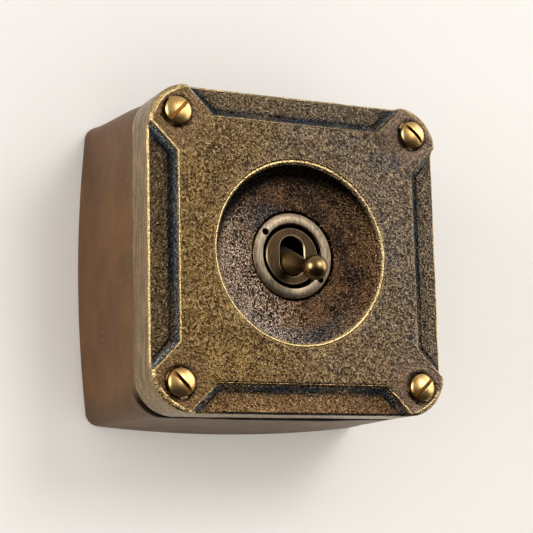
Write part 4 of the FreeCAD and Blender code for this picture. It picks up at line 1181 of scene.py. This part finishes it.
SPOT_FACE = 4.7
SCREW_HOLE = 2.25
COLUMN = 6.0
INNER_START = 6.0
LIP_HALF, LIP_IN, LIP_OUT = 27.0, 41.1, 43.3


class SWITCH_OT_cover(bpy.types.Operator):
    """Make the cast cover"""

    bl_idname = "switch.cover"
    bl_label = "Cover"

    def execute(self, context):
        s = sizes(context.scene.switch_cover)
        cover = make_cover(s)
        front, end = -3.0, COVER_BACK + 5.2
        seat = [[0.0, front], [SPOT_FACE, front], [SPOT_FACE, SCREW_SEAT]]
        hole = [[SCREW_HOLE, SCREW_SEAT], [SCREW_HOLE, end], [0.0, end]]
        tools = at_screws("screw_hole_tool", seat + hole, steps=72)
        cut(cover, [joined(tools[0], tools[1:])], sharp=42.0)
        column = tube(SCREW_HOLE, COLUMN, INNER_START, COVER_BACK)
        extras = at_screws("column", column, steps=48, closed=True)
        lip = np.array([[-LIP_HALF, LIP_IN], [LIP_HALF, LIP_IN], [LIP_HALF, LIP_OUT], [-LIP_HALF, LIP_OUT]])
        for quarter in range(4):
            extras.append(prism("lip", turned_about(lip, QUARTER_TURN * quarter), INNER_START, LIP_END))
        joined(cover, extras)
        dress(cover, cast_brass(context.scene.switch_finishes), "switch", "cover_brass", "cover_plate")
        return {"FINISHED"}


WALL_HOLE, WALL_HOLE_PLACE = 2.6, 25.4
PILLAR_THREAD = 2.05
PILLAR_END = OVERALL - BOX_FLOOR + 0.2
EARTH_BOSS, EARTH_HOLE = 4.6, 1.8


class SWITCH_OT_box(bpy.types.Operator):
    """Make the cast box"""

    bl_idname = "switch.box"
    bl_label = "Box"

    def execute(self, context):
        s = sizes(context.scene.switch_box)
        box = make_box(s)
        holes = [circle(WALL_HOLE, x) for x in (-WALL_HOLE_PLACE, WALL_HOLE_PLACE)]
        inside, behind = OVERALL - BOX_FLOOR - 1.5, OVERALL + 2.5
        cut(box, [prism("wall_hole", hole, inside, behind) for hole in holes], sharp=44.0)
        pillar = tube(PILLAR_THREAD, COLUMN, COVER_BACK + 0.02, PILLAR_END)
        extras = at_screws("pillar", pillar, steps=48, closed=True)
        boss = tube(EARTH_HOLE, EARTH_BOSS, EARTH_BOSS_TOP, PILLAR_END)
        extras.append(lathed("earth_boss", boss, 0.0, EARTH_HEIGHT, steps=48, closed=True))
        joined(box, extras)
        dress(box, satin_bronze(context.scene.switch_finishes), "switch", "box_bronze", "back_box")
        return {"FINISHED"}


class SWITCH_OT_turned(bpy.types.Operator):
    """Make the cover screws, the bezel ring and the dolly"""

    bl_idname = "switch.turned"
    bl_label = "Screws, ring and dolly"

    def execute(self, context):
        s = sizes(context.scene.switch_turned)
        finish = context.scene.switch_finishes
        brown = shaded_slot_brown()
        brass = polished_brass(finish)
        screws = []
        for (side_x, side_z), angle in SCREW_ANGLES.items():
            screw, slot = make_screw(s, side_x, side_z, angle, brown)
            screw.data.materials.append(brass)
            cut(screw, [slot], bevel=0.09)
            screws.append(screw)
        whole = joined(screws[0], screws[1:])
        whole.name = "cover_screws_turned"
        dress(whole, brass, "switch", "screw_brass", "cover_screws")
        ring, holes = make_ring(s)
        cut(ring, holes)
        dress(ring, brushed_nickel(finish), "switch", "ring_nickel", "bezel_ring")
        dolly = make_dolly(s)
        dress(dolly, dolly_brass(finish), "dolly", "dolly_brass", "dolly")
        return {"FINISHED"}


class SWITCH_OT_inner(bpy.types.Operator):
    """Finish the bush and the pieces of the mechanism"""

    bl_idname = "switch.inner"
    bl_label = "Bush and mechanism"

    def execute(self, context):
        coat("slot_bush", dark_bush(context.scene.switch_finishes))
        kinds = {
            "bright_steel": plain_metal("bright_steel", "#8d8f92", "#b5b6b8", 0.3, 0.2, (1.0, 0.2, 1.0)),
            "plated_steel": plain_metal("zinc_plated_steel", "#8a8a84", "#a9a99f", 1.2, 0.32),
            "terminal_brass": plain_metal("plain_terminal_brass", "#9c7c42", "#c3a262", 0.5, 0.25),
            "contact_silver": plain_metal("silver_contact", "#b9b6ae", "#d8d5cd", 0.4, 0.2),
            "contact_copper": plain_metal("rolled_copper", "#8f5233", "#b87350", 0.5, 0.28, (0.2, 1.0, 1.0)),
            "moulded_black": moulded_phenolic(),
        }
        for part in frame["record"]["subparts"]:
            if part["material_slot"] in kinds:
                coat(part["node"], kinds[part["material_slot"]])
        return {"FINISHED"}


class SWITCH_OT_stage(bpy.types.Operator):
    """Make the wall, the floor, the lamps and the camera"""

    bl_idname = "switch.stage"
    bl_label = "Stage"

    def execute(self, context):
        make_wall(sizes(context.scene.switch_box))
        make_lamps(context)
        make_world(context)
        make_camera(context)
        return {"FINISHED"}


WALL_HALF = 900.0
FLOOR_BELOW = 260.0
FLOOR_DEEP = 1500.0


def make_wall(s):
    """A pale wall that leaves the box's back open, and a pale floor well below."""
    hole, _ = rounded_square(BOX_BACK_HALF - 1.2, s["back_corner"], s["back_bow"])
    far = hole / np.abs(hole).max(axis=1)[:, None] * WALL_HALF
    far[:, 1] = np.maximum(far[:, 1], -FLOOR_BELOW)
    grid = np.stack([place(ring[:, 0], OVERALL + 0.15, ring[:, 1]) for ring in (hole, far)], axis=1)
    wall = surface("wall", grid, closed=(True, False))
    face_front(wall, Vector((0.0, -1.0, 0.0)))
    wall.data.materials.append(painted("wall_paint", "#e9e7e4"))
    x, y = np.meshgrid([-WALL_HALF, WALL_HALF], [0.0, -FLOOR_DEEP], indexing="ij")
    ground = np.stack([x, y, np.full((2, 2), -FLOOR_BELOW)], -1) * MM
    floor = surface("floor", ground, closed=(False, False))
    face_front(floor, Vector((0.0, 0.0, 1.0)))
    floor.data.materials.append(painted("floor_paint", "#efebe5", dark_in_metal=True))


def face_front(thing, towards):
    """Turns an open sheet so that its faces look one way."""
    mesh = thing.data
    if mesh.polygons[0].normal.dot(towards) < 0:
        mesh.flip_normals()


# Each lamp's direction, distance, width and height in metres, watts and colour.
LAMPS = {
    "key": ((0.30, -0.88, 0.37), 1.25, (0.36, 0.36), 3.9, "#fffdfa"),
    "left_window": ((-0.93, -0.34, 0.12), 1.3, (0.35, 0.9), 5.2, "#fbfaff"),
    "right_window": ((0.78, -0.35, 0.52), 1.3, (0.3, 0.7), 2.0, "#ffffff"),
    "behind": ((-0.35, 0.85, 0.4), 1.3, (0.7, 0.7), 9.0, "#ffffff"),
}


def make_lamps(context):
    """Soft upright area lamps, each aimed at the middle of the switch."""
    for name, (direction, distance, size, watts, tint) in LAMPS.items():
        data = bpy.data.lights.new(name, "AREA")
        data.shape = "RECTANGLE"
        data.size, data.size_y = size
        data.energy = watts
        data.color = linear(tint)
        lamp = bpy.data.objects.new(name, data)
        away = Vector(direction).normalized()
        lamp.location = Vector((0.0, -0.04, 0.0)) + away * distance
        lamp.rotation_mode = "QUATERNION"
        lamp.rotation_quaternion = away.to_track_quat("Z", "Y")
        context.scene.collection.objects.link(lamp)


BRIGHTER_SIDE = (0.25, -0.45, 0.86)
# Each window's direction, the cosines between which it glows up, and its strength.
WINDOWS = {
    "front": ((0.33, -0.88, 0.34), 0.88, 0.97, 2.6),
    "left": ((-0.92, -0.37, 0.14), 0.93, 0.985, 5.0),
    "right": ((0.93, -0.33, 0.20), 0.88, 0.97, 3.0),
    "behind": ((-0.12, 0.97, 0.20), 0.80, 0.97, 1.6),
}


def make_world(context):
    """A pale room. Matt surfaces and the camera meet it as one even tone. Polished ones mirror
    it as it would be: dark below, brighter above, with a pale window in front and on each side."""
    world = bpy.data.worlds.new("pale_room")
    world.use_nodes = True
    tree = world.node_tree
    tree.nodes.clear()
    way = add(tree, "TexCoord").outputs["Generated"]
    level = add(tree, "MapRange", add(tree, "Towards", way, BRIGHTER_SIDE), -0.35, 1.0, 0.0, 0.55)
    for direction, edge, middle, strength in WINDOWS.values():
        window = add(tree, "Ramp", add(tree, "Towards", way, direction), edge, middle)
        level = add(tree, "MultiplyAdd", window, strength, level)
    mirrored = add(tree, "Background", "#fdf9f2", level)
    plain = add(tree, "Background", "#fbf9f5", 0.8)
    polished = add(tree, "LightPath").outputs["Is Glossy Ray"]
    add(tree, "OutputWorld", add(tree, "MixShader", polished, plain, mirrored))
    context.scene.world = world


CAMERA_PLACE = (-0.20163, -0.44679, -0.07856)
CAMERA_YAW = 25.987
CAMERA_PITCH = 9.652
CAMERA_ROLL = -1.285
CAMERA_LENS = 101.25
CAMERA_SENSOR = 36.0


def make_camera(context):
    """The camera at the photograph's place: it looks right, a little up, and leans by its roll."""
    yaw, pitch, roll = (math.radians(a) for a in (CAMERA_YAW, CAMERA_PITCH, CAMERA_ROLL))
    ahead = Vector((math.sin(yaw) * math.cos(pitch), math.cos(yaw) * math.cos(pitch), math.sin(pitch)))
    level = Vector((math.cos(yaw), -math.sin(yaw), 0.0))
    upright = level.cross(ahead)
    right = math.cos(roll) * level + math.sin(roll) * upright
    up = math.cos(roll) * upright - math.sin(roll) * level
    data = bpy.data.cameras.new("camera")
    data.lens = CAMERA_LENS
    data.sensor_width = CAMERA_SENSOR
    camera = bpy.data.objects.new("camera", data)
    turn = Matrix((right, up, -ahead)).transposed().to_4x4()
    camera.matrix_world = Matrix.Translation(CAMERA_PLACE) @ turn
    context.scene.collection.objects.link(camera)
    context.scene.camera = camera
    context.scene.view_settings.view_transform = "Standard"


class SWITCH_PT_panel(bpy.types.Panel):
    """Lists the pieces of the switch"""

    bl_label = "Brass dolly switch"
    bl_idname = "SWITCH_PT_panel"
    bl_space_type = "VIEW_3D"
    bl_region_type = "UI"
    bl_category = "Switch"

    def draw(self, context):
        for operator in OPERATORS:
            self.layout.operator(operator.bl_idname)
        for name in GROUPS:
            group = getattr(context.scene, name)
            for key in own_names(group):
                self.layout.prop(group, key)


GROUPS = {
    "switch_cover": CoverSizes,
    "switch_box": BoxSizes,
    "switch_turned": TurnedSizes,
    "switch_finishes": Finishes,
}
OPERATORS = (SWITCH_OT_cover, SWITCH_OT_box, SWITCH_OT_turned, SWITCH_OT_inner, SWITCH_OT_stage)
CLASSES = (*GROUPS.values(), *OPERATORS, SWITCH_PT_panel)


def register():
    """Registers the classes and gives the scene its property groups."""
    for item in CLASSES:
        bpy.utils.register_class(item)
    for name, group in GROUPS.items():
        setattr(bpy.types.Scene, name, bpy.props.PointerProperty(type=group))


def unregister():
    """Takes the property groups and the classes away again."""
    for name in GROUPS:
        delattr(bpy.types.Scene, name)
    for item in reversed(CLASSES):
        bpy.utils.unregister_class(item)


def main():
    """Makes the stage and the pieces."""
    register()
    bpy.ops.switch.stage()
    bpy.ops.switch.box()
    bpy.ops.switch.cover()
    bpy.ops.switch.turned()
    bpy.ops.switch.inner()


if __name__ == "__main__":
    main()
